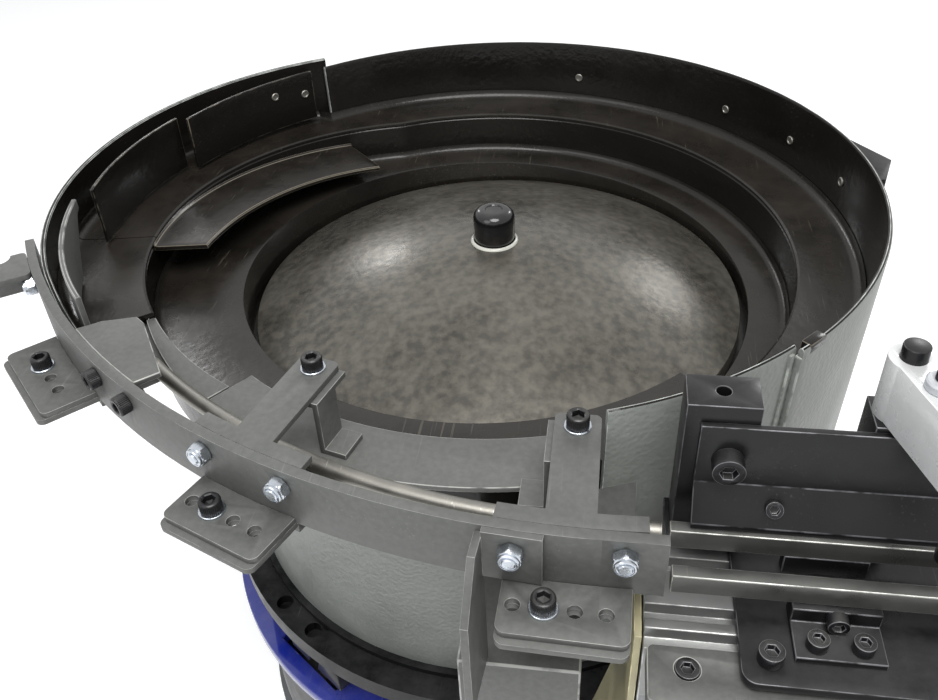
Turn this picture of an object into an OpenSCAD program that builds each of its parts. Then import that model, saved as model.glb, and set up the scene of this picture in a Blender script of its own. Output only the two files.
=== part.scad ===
// Vibratory bowl feeder with its discharge tooling and a linear track.
// Millimetres. The origin is on the bowl's axis, on the underside of the mounting plate.
// +X runs along the discharge track and +Z is up.

/* [Bowl] */
// Height of the bowl, from its seat on the drive to its rim
bowl_h = 244; // [232:1:256]
// Outer radius of the rim
rim_r = 225; // [222:1:232]
// Thickness of the bowl's sheet walls
wall_t = 3; // [2:0.5:4]
// Thickness of the track shelves
shelf_t = 3; // [2:0.5:4]
// Radius of the riser between the inner and the outer track
riser_r = 187; // [183:1:190]
// Radius of the skirt under the tracks
skirt_r = 180; // [170:1:182]
// Radius of the edge of the dome
dome_r = 156; // [148:1:160]
// Depth of the dome's edge below the rim
dome_drop = 86; // [82:1:92]
// Height of the dome above its edge
dome_rise = 40; // [30:1:44]
// Climb of the inner track in one turn
climb = 34; // [30:1:36]
// Climb of the outer track, from its start to the rods
outer_climb = 17; // [12:1:20]
// Depth of the discharge end of the track below the rim
track_drop = 35; // [33:1:36]
// How far the outer wall hangs below the rim
apron_h = 155; // [120:1:170]
// How far the wall bulges outwards on the left
bulge = 45.8; // [40:0.1:46]
// Radius of the bulging wall
left_r = 189; // [186:0.5:190]
// Radius of the riser inside the bulge
left_riser_r = 173; // [170:0.5:176]
// Diameter of the knob on the middle of the dome
knob_d = 26; // [20:1:32]
// Height of the knob
knob_h = 22; // [16:1:28]

/* [Discharge tooling] */
// Distance of the middle of the track outside the rim
track_out = 22.5; // [21:0.5:26]
// Diameter of the two guide rods
rod_d = 8; // [6:0.5:9]
// Distance between the middles of the two rods
rod_gap = 23; // [20:0.5:26]
// Depth of the middle of the rods below the rim
rod_drop = 40; // [39.5:0.5:42]
// Thickness of the guard bar
guard_t = 5; // [4:0.5:6]
// Height of the guard bar
guard_h = 30; // [28:1:32]
// Depth of the top of the guard bar below the rim
guard_drop = 10; // [8:1:11]
// Thickness of the bent brackets and tabs
plate_t = 3; // [2:0.5:4]
// Width of the two arms that reach over the rods
arm_w = 20; // [16:1:24]
// Length of the two arms
arm_l = 60; // [54:1:64]
// Reach of the slotted tabs outside the guard bar
tab_reach = 26; // [22:1:30]
// Diameter of the tooling screws
screw_d = 6; // [5:0.5:6]

/* [Drive] */
// Thickness of the mounting plate
base_plate_t = 15; // [10:1:20]
// Height of the rubber feet
foot_h = 22; // [16:1:30]
// Diameter of the rubber feet
foot_d = 44; // [30:1:50]
// Height of the cast drive base
casting_h = 40; // [30:1:50]
// Inset of the cast drive base from the housing
casting_in = 8; // [6:1:16]
// Height of the housing above the casting
housing_h = 64; // [58:1:80]
// Outer radius of the housing
housing_r = 196; // [194:1:200]
// Reach of the blue cover past the housing
cover_out = 10; // [7:1:14]
// Thickness of the blue cover
cover_t = 10; // [6:1:14]
// Gap between the blue cover and the spring clamps of the top ring
cover_gap = 14; // [8:1:20]
// Height of the upper spring clamps
clamp_h = 18; // [16:1:24]
// Height of the top ring
ring_h = 18; // [14:1:22]
// Outer radius of the top ring
ring_r = 200; // [196:1:202]
// Width of a leaf spring
leaf_w = 38; // [30:1:40]
// Thickness of a leaf spring pack
leaf_t = 7; // [4:0.5:8]
// Lean of the leaf springs from the vertical, in degrees
leaf_lean = 18; // [12:1:20]

/* [Linear track] */
// Length of the rails
rail_l = 250; // [230:1:280]
// Thickness of a rail
rail_t = 6; // [5:0.5:7]
// Height of a rail
rail_h = 10; // [8:1:12]
// Gap between the ends of the rods and the rails
run_gap = 3; // [2:0.5:4]
// Width of the slotted profile that carries the rails
profile_w = 50; // [46:1:54]
// Height of the slotted profile
profile_h = 40; // [35:1:45]
// Thickness of the black track plate
deck_t = 4; // [3:0.5:5]
// Height of the back angle above the rails
angle_h = 48; // [40:1:54]
// Free length of the track's leaf springs
track_leaf_l = 90; // [80:1:100]
// Height of the track drive's base block
track_base_h = 45; // [35:1:55]
// Length of the sensor arm
sensor_l = 62; // [50:1:70]

/* [Hidden] */
$fn = 96;
casting_r = housing_r - casting_in;
cover_r = housing_r + cover_out;

// Clearance between pieces that are laid together, and the overrun of a cut
fit = 0.2;
over = 1;

// Heights of the drive and the bowl, from the mounting face up
foot_z = base_plate_t;
casting_z = foot_z + foot_h;
housing_z = casting_z + casting_h;
cover_z = housing_z + housing_h;
clamp_z = cover_z + cover_t + cover_gap;
ring_z = clamp_z + clamp_h;
seat_z = ring_z + ring_h;
rim_z = seat_z + bowl_h;

// Azimuths of the bowl's parts, in degrees anticlockwise from +X
wall_start_a = -70.6;
start_a = -45;
outer_end_a = 132;
joint_a = 187;
cut_a = 206;
step_down_a = 211;
left_end_a = 221;
return_start_a = 233;
return_end_a = 289;
open_a = 290;
full_a = 360;

// Distance from the axis to a circle round (cx, cy), along an azimuth
function reach(cx, cy, r, a) =
    let (t = cx * cos(a) + cy * sin(a)) t + sqrt(r * r - cx * cx - cy * cy + t * t);

// The wall and the riser widen on the left along two arcs
left_x = -(rim_r + bulge - left_r);
left_y = -1.6;
left_riser_x = -45;
left_riser_y = -4;
taper = 4;
notch_in = 4;
left_wall_h = 90;
left_rise = 4;
function wall_in(drop) = rim_r - wall_t - taper * drop / apron_h;
function left_at(a) = reach(left_x, left_y, left_r, a);
function riser_at(a) = max(riser_r, reach(left_riser_x, left_riser_y, left_riser_r, a));

// Heights of the tracks
lip = 3;
steer_t = 2;
ledge_h = 10;
floor_drop = dome_drop + ledge_h;
floor_z = rim_z - floor_drop;
floor_t = 6;
seat_t = 8;
guard_z = rim_z - guard_drop;
rod_z = rim_z - rod_drop;
return_z = rod_z - rod_d / 2 - fit;
function shelf_z(a) = rim_z - track_drop - outer_climb * (left_end_a - a) / (left_end_a - start_a);
function inner_z(a) = shelf_z(start_a) - climb * (full_a + start_a - a) / full_a;
transfer_top = shelf_z(step_down_a) - lip;
function transfer_z(a) = transfer_top
    + (return_z - transfer_top) * (a - step_down_a) / (return_start_a - step_down_a);
function riser_top(a) = a <= step_down_a ? shelf_z(a) - shelf_t - fit
    : a < return_start_a ? transfer_z(a) - steer_t - fit : return_z - shelf_t;
function left_top(a) = a <= cut_a
    ? rim_z + left_rise - (left_rise + guard_drop) * (a - outer_end_a) / (cut_a - outer_end_a)
    : guard_z - (track_drop - guard_drop) * (a - cut_a) / (left_end_a - cut_a);

// The discharge arc: both rods and the guard bar are arcs round this point
arc_x = 73;
arc_y = 126;
track_y = rim_r + track_out;
inner_rod_r = arc_y + track_y - rod_gap / 2;
outer_rod_r = inner_rod_r + rod_gap;
guard_in = outer_rod_r + rod_d / 2 + over;
guard_out = guard_in + guard_t;
rod_start_a = 229;
guard_start_a = 211.3;
exit_a = 270;
exit_l = 25;
exit_x = arc_x + exit_l;

// Puts its children on the discharge arc: +X along the track and +Y inwards
module at_arc(r, a, z) {
    translate([arc_x + r * cos(a), arc_y + r * sin(a), z])
        rotate([0, 0, a + 90])
            children();
}

// A part of a ring between two angles
module ring_part(r_in, r_out, h, a0, a1) {
    rotate([0, 0, a0])
        rotate_extrude(angle = a1 - a0)
            translate([r_in, 0])
                square([r_out - r_in, h]);
}

// A solid swept through a list of four-cornered sections
module loft(secs) {
    n = len(secs);
    pts = [for (s = secs) for (p = s) p];
    sides = [for (i = [0:n - 2]) for (k = [0:3])
        let (a = 4 * i + k, b = 4 * i + (k + 1) % 4, c = a + 4, d = b + 4)
            each [[a, c, b], [b, c, d]]];
    last = 4 * (n - 1);
    caps = [[0, 1, 2], [0, 2, 3], [last, last + 2, last + 1], [last, last + 3, last + 2]];
    polyhedron(points = pts, faces = concat(sides, caps));
}

// The numbers from a to b as a list
function span(a, step, b) = [for (i = [a:step:b]) i];

// One section of a ring-shaped solid: two radii, and the bottom and top at each
function sec(a, r_in, r_out, z_in0, z_out0, z_in1, z_out1) = [
    [r_in * cos(a), r_in * sin(a), z_in0],
    [r_out * cos(a), r_out * sin(a), z_out0],
    [r_out * cos(a), r_out * sin(a), z_out1],
    [r_in * cos(a), r_in * sin(a), z_in1]];

// A flat plate with round corners and one corner at the origin
module round_rect(w, l, r) {
    translate([r, 0])
        square([w - 2 * r, l]);
    translate([0, r])
        square([w, l - 2 * r]);
    for (x = [r, w - r], y = [r, l - r])
        translate([x, y])
            circle(r);
}

// A socket head screw: the head above z = 0, the shank below
head_share = 1.67;
socket_share = 0.96;
module cap_screw(d, l) {
    difference() {
        union() {
            cylinder(d = head_share * d, h = d);
            translate([0, 0, -l])
                cylinder(d = d - fit, h = l + d / 2);
        }
        translate([0, 0, d / 2])
            cylinder(d = socket_share * d, h = d, $fn = 6);
    }
}

// A plain washer on z = 0
washer_t = 1.2;
washer_share = 2;
module washer(d) {
    difference() {
        cylinder(d = washer_share * d, h = washer_t);
        translate([0, 0, -over])
            cylinder(d = d + fit, h = washer_t + 2 * over);
    }
}

// A lock nut on z = 0: a hexagon with a round collar, on a stud that goes down
nut_share = 1.83;
nut_h_share = 0.75;
collar_d_share = 1.5;
collar_h_share = 0.28;
module lock_nut(d, l) {
    difference() {
        union() {
            cylinder(d = nut_share * d, h = nut_h_share * d, $fn = 6);
            cylinder(d = collar_d_share * d, h = (nut_h_share + collar_h_share) * d);
            translate([0, 0, -l])
                cylinder(d = d - fit, h = l + d / 2);
        }
        translate([0, 0, nut_h_share * d])
            cylinder(d = d, h = d);
    }
}

// Drum: the seat on the drive, the skirt and the ledge that the dome rests on
bolt_d = 16;
ledge = 8;
module bowl_drum() {
    bolt_hole_r = bolt_d / 2 + fit;
    color("silver")
        rotate_extrude()
            polygon([[bolt_hole_r, seat_z], [skirt_r, seat_z], [skirt_r, floor_z - floor_t],
                [riser_r, floor_z - floor_t], [riser_r, floor_z], [dome_r - ledge, floor_z],
                [dome_r - ledge, floor_z - floor_t], [skirt_r - wall_t, floor_z - floor_t - fit],
                [skirt_r - wall_t, seat_z + seat_t], [bolt_hole_r, seat_z + seat_t]]);
}

// Riser: the wall between the inner and the outer track
riser_as = concat(span(start_a, 5, 205), [step_down_a, step_down_a + 0.2, 216, 222, 228],
    span(return_start_a, 4, 285), [open_a]);
module riser() {
    color("dimgray")
        loft([for (a = riser_as)
            sec(a, riser_at(a) - wall_t, riser_at(a), floor_z, floor_z, riser_top(a), riser_top(a))]);
}

// The inner track climbs round the dome and swings out to start the outer one
groove_w = 4;
swing_a = 294;
inner_end_a = 314;
inner_as = concat(span(start_a, 5, 205), [step_down_a, 216, 222, 228], span(return_start_a, 4, 285),
    [open_a, swing_a, 304, inner_end_a]);
function inner_out(a) = a <= open_a ? riser_at(a) - wall_t - fit : wall_in(floor_drop) - notch_in - over;
module inner_track() {
    color("dimgray")
        loft([for (a = inner_as)
            sec(a, dome_r + groove_w, inner_out(a), floor_z, floor_z, inner_z(a), inner_z(a) - fit)]);
}

// The outer track, a shelf between the riser and the wall, banked outwards
bank = 1;
seam_a = 1;
outer_as = concat([start_a + seam_a], span(start_a + 6, 6, 126), [outer_end_a + 0.3, outer_end_a + 1.6], span(138, 6, 180),
    [joint_a - 0.2]);
function outer_out(a) = a <= outer_end_a + 1 ? wall_in(track_drop + outer_climb) - 2 * fit
    : left_at(a) - wall_t - fit;
module outer_track() {
    color("dimgray")
        loft([for (a = outer_as)
            let (z = shelf_z(a))
                sec(a, riser_at(a) - wall_t, outer_out(a), z - shelf_t, z - shelf_t - bank, z, z - bank)]);
}

// The left track, which carries the workpieces to the rods
rod_lead = 6;
left_as = [joint_a, 191, 195, 199, 203, cut_a, 209, step_down_a, step_down_a + 0.3, 213, 217,
    left_end_a];
function left_in(a) = a <= step_down_a ? riser_at(a) - wall_t : rim_r - rod_lead;
module left_track() {
    color("dimgray")
        loft([for (a = left_as)
            let (z = shelf_z(a))
                sec(a, left_in(a), outer_out(a), z - shelf_t, z - shelf_t - bank, z, z - bank)]);
}

// The outer wall, from the front right round the back to the left seam
bead = 2;
seam_in = 0.5;
function wall_outline(inset) = [[rim_r - wall_t - taper - inset, rim_z - apron_h],
    [rim_r - taper - inset, rim_z - apron_h], [rim_r - inset, rim_z - bead],
    [rim_r - inset - wall_t / 2, rim_z], [rim_r - inset - wall_t, rim_z - bead]];
module outer_wall() {
    color("silver") {
        rotate([0, 0, start_a])
            rotate_extrude(angle = outer_end_a - start_a)
                polygon(wall_outline(0));
        rotate([0, 0, wall_start_a])
            rotate_extrude(angle = start_a - wall_start_a)
                polygon(wall_outline(notch_in));
        rotate([0, 0, start_a])
            translate([rim_r - wall_t - notch_in - taper, wall_t, rim_z - apron_h])
                rotate([90, 0, 0])
                    linear_extrude(2 * wall_t)
                        polygon([[seam_in, seam_in], [wall_t + notch_in - seam_in, seam_in],
                            [wall_t + notch_in + taper - seam_in, apron_h - 2 * bead],
                            [taper + seam_in, apron_h - 2 * bead]]);
    }
}

// The left wall: its rim runs down to the guard bar's top, then to the track
left_wall_as = concat([outer_end_a - 1, outer_end_a + 1.6], span(138, 6, 180),
    [joint_a, 191, 195, 199, 203, cut_a, 209, step_down_a, 213, 217]);
module left_wall() {
    color("silver")
        loft([for (a = left_wall_as)
            let (r = left_at(a), z1 = left_top(a),
                z0 = rim_z - (a < 200 ? left_wall_h : track_drop + 2 * lip))
                sec(a, r - wall_t, r, z0, z0, z1, z1)]);
}

// The dome that closes the middle of the bowl
dome_t = 2;
dome_steps = 12;
dome_power = 1.7;
dome_edge_z = rim_z - dome_drop;
dome_top_z = dome_edge_z + dome_rise;
dome_hole_r = bolt_d / 2 + fit;
dome_radii = [for (i = [0:dome_steps]) dome_hole_r + (dome_r - dome_hole_r) * i / dome_steps];
function dome_z(r) =
    dome_edge_z + dome_rise * (1 - pow((r - dome_hole_r) / (dome_r - dome_hole_r), dome_power));
module dome() {
    color("tan")
        rotate_extrude()
            polygon(concat([for (r = dome_radii) [r, dome_z(r)]],
                [[dome_r, floor_z], [dome_r - dome_t, floor_z], [dome_r - dome_t, dome_edge_z - dome_t]],
                [for (i = [dome_steps - 1:-1:0]) [dome_radii[i], dome_z(dome_radii[i]) - dome_t]]));
}

// The post, bolt and knob that clamp the dome and the bowl to the drive
post_d = 60;
bolt_head_h = 8;
knob_wall = 4;
knob_round = 5;
module centre_post() {
    color("gray")
        translate([0, 0, seat_z + seat_t])
            difference() {
                cylinder(d = post_d, h = dome_z(post_d / 2) - dome_t - fit - seat_z - seat_t);
                translate([0, 0, -over])
                    cylinder(d = bolt_d + 2 * fit, h = bowl_h);
            }
}
module centre_bolt() {
    color("gray") {
        translate([0, 0, dome_top_z])
            cylinder(d = knob_d - 2 * knob_wall - fit, h = bolt_head_h, $fn = 6);
        translate([0, 0, ring_z - armature_t + over])
            cylinder(d = bolt_d, h = dome_top_z - ring_z + armature_t);
    }
}
module centre_knob() {
    cavity_r = knob_d / 2 - knob_wall + fit;
    color("black")
        translate([0, 0, dome_top_z])
            rotate_extrude()
                polygon(concat(
                    [[0, bolt_head_h + fit], [cavity_r, bolt_head_h + fit], [cavity_r, fit],
                        [knob_d / 2, fit]],
                    [for (t = [0:15:90])
                        [knob_d / 2 - knob_round + knob_round * cos(t),
                            knob_h - knob_round + knob_round * sin(t)]],
                    [[0, knob_h]]));
}

// Two curved plates that steer the workpieces inwards on the left
liner_x = -25;
liner_y = -3;
liner_in = 17;
wiper_in = 27;
liner_ends = [129.5, 160];
wiper_ends = [158.2, 189];
module steer_plates() {
    steer_h = rim_z - shelf_z(joint_a) - fit;
    color("black") {
        translate([liner_x, liner_y, shelf_z(joint_a) + fit])
            ring_part(rim_r - liner_in, rim_r - liner_in + steer_t, steer_h, liner_ends[0], liner_ends[1]);
        translate([left_riser_x, left_riser_y, shelf_z(joint_a) + fit])
            ring_part(rim_r - wiper_in, rim_r - wiper_in + steer_t, steer_h, wiper_ends[0], wiper_ends[1]);
    }
}

// The cover over the inner track on the left
cover_end_a = 189;
cover_dip = 10;
module return_cover() {
    color("dimgray")
        loft([for (a = concat(span(outer_end_a, 6, 184), [cover_end_a]))
            let (s = (a - outer_end_a) / (cover_end_a - outer_end_a),
                r0 = (1 - s) * (dome_r - ledge) + s * (riser_r - 2 * lip),
                z = shelf_z(a) - shelf_t - cover_dip * (1 - s))
                sec(a, r0, riser_at(a) - wall_t - fit, z - shelf_t, z - shelf_t, z, z)]);
}

// The curved guide that hands the workpieces to the rods; its start is cut away below
guide_in = 20;
guide_as = concat([192, 196], span(200, 4, 220), [223.5]);
module guide_plate() {
    low_z = shelf_z(left_end_a) + fit;
    guide_r = rim_r - guide_in;
    color("gray")
        translate([left_riser_x, left_riser_y, 0])
            loft([for (a = guide_as)
                let (z0 = a < 196 ? rim_z - 2 * lip : a < 200 ? (rim_z + low_z) / 2 : low_z)
                    sec(a, guide_r, guide_r + wall_t, z0, z0, rim_z, rim_z)]);
}

// The sloping plate between the left track and the return shelf
transfer_in = 10.5;
transfer_as = [step_down_a + 0.3, 215, 219, left_end_a + 1, 227, return_start_a - 0.3];
module transfer_plate() {
    color("gray")
        loft([for (a = transfer_as)
            let (z = transfer_z(a))
                sec(a, riser_at(a) - wall_t, rim_r - transfer_in, z - steer_t, z - steer_t, z, z)]);
}

// The return shelf under the rods, which drops stray workpieces back into the bowl
return_in = 9;
return_out = rim_r - return_in;
module return_shelf() {
    color("gray")
        translate([0, 0, return_z - shelf_t])
            ring_part(riser_r - wall_t, return_out, shelf_t, return_start_a, return_end_a);
}

// A wedge-shaped lug outside the rim at the back right
lug_drop = 5;
rim_lug_h = 24;
lug_out = 17;
rim_lug_as = [4, 10, 21];
module rim_lug() {
    color("black")
        translate([0, 0, rim_z - lug_drop - rim_lug_h])
            difference() {
                linear_extrude(rim_lug_h)
                    polygon([for (p = [[rim_r - wall_t, rim_lug_as[2]], [rim_r + over, rim_lug_as[2]],
                        [rim_r + lug_out, rim_lug_as[1]], [rim_r + lug_out / 3, rim_lug_as[0]],
                        [rim_r - wall_t, rim_lug_as[0]]]) p[0] * [cos(p[1]), sin(p[1])]]);
                translate([0, 0, -over])
                    cylinder(r = rim_r + fit, h = rim_lug_h + 2 * over);
            }
}

// Guard bar: an arc round the discharge arc's centre that ends in a straight
module arc_bar(r_in, r_out, h, a0, straight) {
    ring_part(r_in, r_out, h, a0, exit_a);
    translate([0, -r_out, 0])
        cube([straight, r_out - r_in, h]);
}
screw_drop = 8.5;
guard_screw_z = guard_z - screw_drop;
head_as = [231.8, 235.9];
nut_as = [244, 250.3, 265.1, 271.3];
hex_a = 216.8;
module guard_bar() {
    color("gray")
        difference() {
            translate([arc_x, arc_y, guard_z - guard_h])
                arc_bar(guard_in, guard_out, guard_h, guard_start_a, exit_l);
            for (a = concat(head_as, nut_as, [hex_a]))
                at_arc(guard_out, a, guard_screw_z)
                    rotate([90, 0, 0])
                        cylinder(d = screw_d + fit, h = 4 * guard_t, center = true);
        }
}

// The two rods that the workpieces slide along, with straight ends turned a little thinner
module rod(r) {
    translate([arc_x, arc_y, rod_z]) {
        rotate([0, 0, rod_start_a])
            rotate_extrude(angle = exit_a - rod_start_a)
                translate([r, 0])
                    circle(d = rod_d);
        translate([0, -r, 0])
            rotate([0, 90, 0])
                cylinder(d = rod_d - fit / 2, h = exit_l);
    }
}
module rod_inner() {
    color("silver")
        rod(inner_rod_r);
}
module rod_outer() {
    color("silver")
        rod(outer_rod_r);
}

// The shovel-shaped plate over the start of the rods, with a flange on the guard bar
flange_h = 20;
module hold_down() {
    edge = [[outer_rod_r - rod_d, 236.5], [inner_rod_r - fit, 230], [inner_rod_r, 228.8],
        [outer_rod_r - rod_d, 227.4]];
    color("gray")
        translate([arc_x, arc_y, guard_z - plate_t]) {
            linear_extrude(plate_t)
                polygon(concat([for (a = [227:1.5:236]) (guard_in - fit) * [cos(a), sin(a)]],
                    [for (p = edge) p[0] * [cos(p[1]), sin(p[1])]]));
            translate([0, 0, plate_t - flange_h])
                ring_part(guard_in - plate_t, guard_in - 2 * fit, flange_h - plate_t / 2, 227.4, 235.6);
        }
}

// The two arms: a flange on the guard bar, a strip along it and an arm over the rods
arm_as = [247.1, 268.2];
arm_skews = [7.1, 1.5];
arm_sides = [1, -1];
strip_a = 4.4;
strip_w = 8;
arm_round = 3;
arm_screw_y = arm_l - arm_w / 5;
arm_profile = [[guard_in - strip_w, -plate_t], [guard_in - plate_t, -plate_t],
    [guard_in - plate_t, -flange_h], [guard_in - fit, -flange_h], [guard_in - fit, 0],
    [guard_in - strip_w, 0]];
module arm_strip(i) {
    rotate([0, 0, arm_as[i] - strip_a])
        rotate_extrude(angle = 2 * strip_a)
            polygon(arm_profile);
}
module arms() {
    color("gray")
        for (i = [0, 1]) {
            at_arc(guard_in - fit, arm_as[i], guard_z - plate_t)
                rotate([0, 0, arm_skews[i]])
                    translate([-arm_w / 2, strip_w / 2, 0])
                        linear_extrude(plate_t)
                            difference() {
                                round_rect(arm_w, arm_l, arm_round);
                                translate([arm_w / 2, arm_screw_y - strip_w / 2])
                                    circle(d = screw_d + fit);
                            }
            translate([arc_x, arc_y, guard_z])
                arm_strip(i);
        }
}

// Z-shaped posts that carry the arms' free ends
post_w = 16;
post_foot = 11;
post_flange_share = 0.6;
module arm_posts() {
    post_h = guard_z - plate_t - fit - return_z;
    color("gray")
        for (i = [0, 1])
            at_arc(guard_in - fit, arm_as[i], return_z)
                rotate([0, 0, arm_skews[i]])
                    translate([0, arm_screw_y, 0])
                        mirror([1 - arm_sides[i], 0, 0]) {
                            difference() {
                                translate([-post_w / 2, -post_w - plate_t, post_h - plate_t])
                                    cube([post_w / 2 + arm_w / 2 + plate_t,
                                        post_w + post_w * post_flange_share, plate_t]);
                                translate([0, 0, post_h - 2 * plate_t])
                                    cylinder(d = screw_d + fit, h = 3 * plate_t);
                            }
                            translate([arm_w / 2, -post_w - plate_t, fit]) {
                                cube([plate_t, post_w, post_h - fit]);
                                cube([plate_t + post_foot, post_w, plate_t]);
                            }
                        }
}

// Tabs on the guard bar's lower edge, and the lugs of the bowl that they are screwed to
tab_as = [225.3, 247, 268.2];
tab_ls = [62, 53, 51];
tab_pitch = 12;
tab_shift = -2;
tab_round = 4;
tab_z = guard_z - guard_h;
module tab_outline(i, tab_out, tab_in) {
    difference() {
        translate([-tab_ls[i] / 2, -tab_out])
            round_rect(tab_ls[i], tab_out + tab_in, tab_round);
        for (k = [0:3])
            translate([tab_shift + (k - 1.5) * tab_pitch, -tab_reach / 2])
                circle(d = screw_d + fit);
    }
}
module guard_tabs() {
    color("gray")
        difference() {
            for (i = [0:2])
                at_arc(guard_out + fit, tab_as[i], tab_z)
                    linear_extrude(plate_t)
                        tab_outline(i, tab_reach, 2 * tab_round);
            translate([arc_x, arc_y, tab_z - over]) {
                cylinder(r = guard_out + fit, h = plate_t + 2 * over);
                translate([0, -guard_out - fit, 0])
                    cube([exit_l, guard_out, plate_t + 2 * over]);
            }
        }
}
lug_l = 75;
lug_end_a = return_end_a - 0.3;
function lug_stop(a) = fit + (a < return_start_a ? riser_at(a) : a < lug_end_a ? return_out : rim_r - lip);
lug_as = concat(span(170, 3, 230), [return_start_a - 0.2, return_start_a], span(237, 4, 285),
    [lug_end_a - 0.1, lug_end_a], span(293, 4, 345));
module bowl_lugs() {
    lug_top = tab_z - fit;
    color("gray")
        difference() {
            for (i = [0:2]) {
                at_arc(guard_out + fit, tab_as[i], lug_top - plate_t)
                    linear_extrude(plate_t)
                        tab_outline(i, tab_reach + lip, guard_t);
                at_arc(guard_out + fit, tab_as[i], return_z - plate_t)
                    translate([-tab_ls[i] / 2, guard_t - plate_t, 0]) {
                        cube([tab_ls[i], plate_t, lug_top - return_z + plate_t]);
                        cube([tab_ls[i], lug_l, plate_t]);
                    }
            }
            translate([0, 0, return_z - 2 * plate_t])
                linear_extrude(3 * plate_t)
                    polygon([for (a = lug_as) lug_stop(a) * [cos(a), sin(a)]]);
        }
}

// The corner bracket at the right tab, and the box on the skirt that carries it
corner_a = 265.1;
corner_leg = 24;
corner_leg_h = 26;
corner_out = 26;
corner_h = 84;
module corner_bracket() {
    color("gray")
        at_arc(guard_out + fit, corner_a, guard_z) {
            difference() {
                translate([-corner_leg / 2, -plate_t, -corner_leg_h])
                    cube([corner_leg, plate_t, corner_leg_h]);
                translate([0, 0, -screw_drop])
                    rotate([90, 0, 0])
                        cylinder(d = screw_d + steer_t, h = 4 * plate_t, center = true);
            }
            translate([-corner_leg / 2 - plate_t, 0, 0])
                rotate([0, -90, 0])
                    mirror([0, 0, 1])
                        linear_extrude(plate_t + fit)
                            polygon([[-plate_t, -plate_t], [-plate_t, 0], [-corner_h, 0],
                                [-corner_h, -corner_out - plate_t], [-corner_leg_h, -corner_out - plate_t],
                                [-plate_t, -corner_out / 2]]);
        }
}
box_x = 14;
box_w = 54;
box_h = 50;
box_reach = 46;
module bracket_box() {
    box_z = guard_z - corner_h - fit - box_h;
    color("gray")
        difference() {
            translate([box_x, -rim_r - box_reach, box_z])
                cube([box_w, box_reach + rim_r - skirt_r + lug_out, box_h]);
            translate([0, 0, box_z - over])
                cylinder(r = skirt_r + fit, h = box_h + 2 * over);
            translate([0, 0, floor_z - floor_t - fit])
                cylinder(r = inner_out(outer_end_a + 180) + 2 * fit, h = box_h);
        }
}

// The hooked lever plate at the far left, over a block on the guard bar
hook_a = 215.2;
hook_w = 26;
hook_l = 44;
hook_block_h = 14;
module hook_lever() {
    color("gray")
        at_arc(guard_out + fit, hook_a, guard_z - plate_t) {
            linear_extrude(plate_t)
                difference() {
                    translate([-hook_w / 2, -hook_l])
                        round_rect(hook_w, hook_l, arm_round);
                    translate([-hook_w / 2, -hook_l / 3])
                        circle(d = hook_w / 2);
                }
            translate([-hook_w / 4, -hook_l / 2, -hook_block_h])
                cube([hook_w / 4, hook_l / 2, hook_block_h]);
        }
}

// Screws, washers and nuts of the tooling
module on_guard(a, gap) {
    at_arc(guard_out + gap, a, guard_screw_z)
        rotate([90, 0, 0])
            children();
}
module on_tabs() {
    for (i = [0:2])
        at_arc(guard_out + fit, tab_as[i], tab_z + plate_t)
            translate([tab_shift - tab_pitch / 2, -tab_reach / 2, 0])
                children();
}
module on_arms() {
    for (i = [0, 1])
        at_arc(guard_in - fit, arm_as[i], guard_z)
            rotate([0, 0, arm_skews[i]])
                translate([0, arm_screw_y, 0])
                    children();
}
module bowl_screws() {
    color("black") {
        on_tabs()
            translate([0, 0, washer_t])
                cap_screw(screw_d, 2 * plate_t + 2 * washer_t);
        on_arms()
            translate([0, 0, washer_t])
                cap_screw(screw_d, 2 * plate_t + 2 * washer_t);
        for (a = head_as)
            on_guard(a, fit)
                cap_screw(screw_d, guard_t + fit);
    }
}
module bowl_washers() {
    color("lightsteelblue") {
        on_tabs()
            washer(screw_d);
        on_arms()
            washer(screw_d);
    }
}
module lock_nuts() {
    color("lightsteelblue") {
        for (i = [0:3])
            let (gap = fit + (i == 2 ? plate_t + fit : 0))
                on_guard(nut_as[i], gap)
                    lock_nut(screw_d, guard_t + gap);
        on_guard(hex_a, fit) {
            cylinder(d = nut_share * screw_d, h = screw_d, $fn = 6);
            translate([0, 0, -guard_t])
                cylinder(d = screw_d - fit, h = guard_t + over);
        }
    }
}

// The round heads of the small screws in the outer wall
wall_screw_as = [78.9, 46.6, 30.1, 13.7];
wall_screw_drop = 26;
wall_screw_r = 3;
module wall_screws() {
    color("silver")
        for (a = wall_screw_as)
            rotate([0, 0, a])
                translate([wall_in(wall_screw_drop) - fit, 0, rim_z - wall_screw_drop])
                    rotate([0, -90, 0])
                        cylinder(r = wall_screw_r, h = steer_t / 2);
}

// Drive: the black top ring that the bowl sits on, with spokes to a hub
hub_r = 34;
spoke_w = 46;
ring_w = 34;
ring_step = 4;
bore_d = 11;
bore_deep = 7;
bore_in = 9.5;
bore_turns = [-5.7, 3.7];
spring_as = [-127, -7, 113];
module top_ring() {
    color("black")
        difference() {
            union() {
                rotate_extrude()
                    polygon([[ring_r - ring_w, ring_z], [ring_r, ring_z],
                        [ring_r, seat_z - ring_step], [skirt_r + ring_step, seat_z - ring_step],
                        [skirt_r + ring_step, seat_z - fit], [ring_r - ring_w, seat_z - fit]]);
                for (a = spring_as)
                    rotate([0, 0, a])
                        translate([hub_r / 2, -spoke_w / 2, ring_z])
                            cube([ring_r - ring_w / 2 - hub_r / 2, spoke_w, ring_h - ring_step]);
                translate([0, 0, ring_z])
                    cylinder(r = hub_r, h = ring_h - fit);
            }
            translate([0, 0, ring_z - over])
                cylinder(d = bolt_d + 2 * fit, h = ring_h + 2 * over);
            for (a = spring_as)
                for (s = bore_turns)
                    rotate([0, 0, a + s])
                        translate([ring_r - bore_in, 0, seat_z - ring_step - bore_deep])
                            cylinder(d = bore_d, h = ring_h);
        }
}

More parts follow.
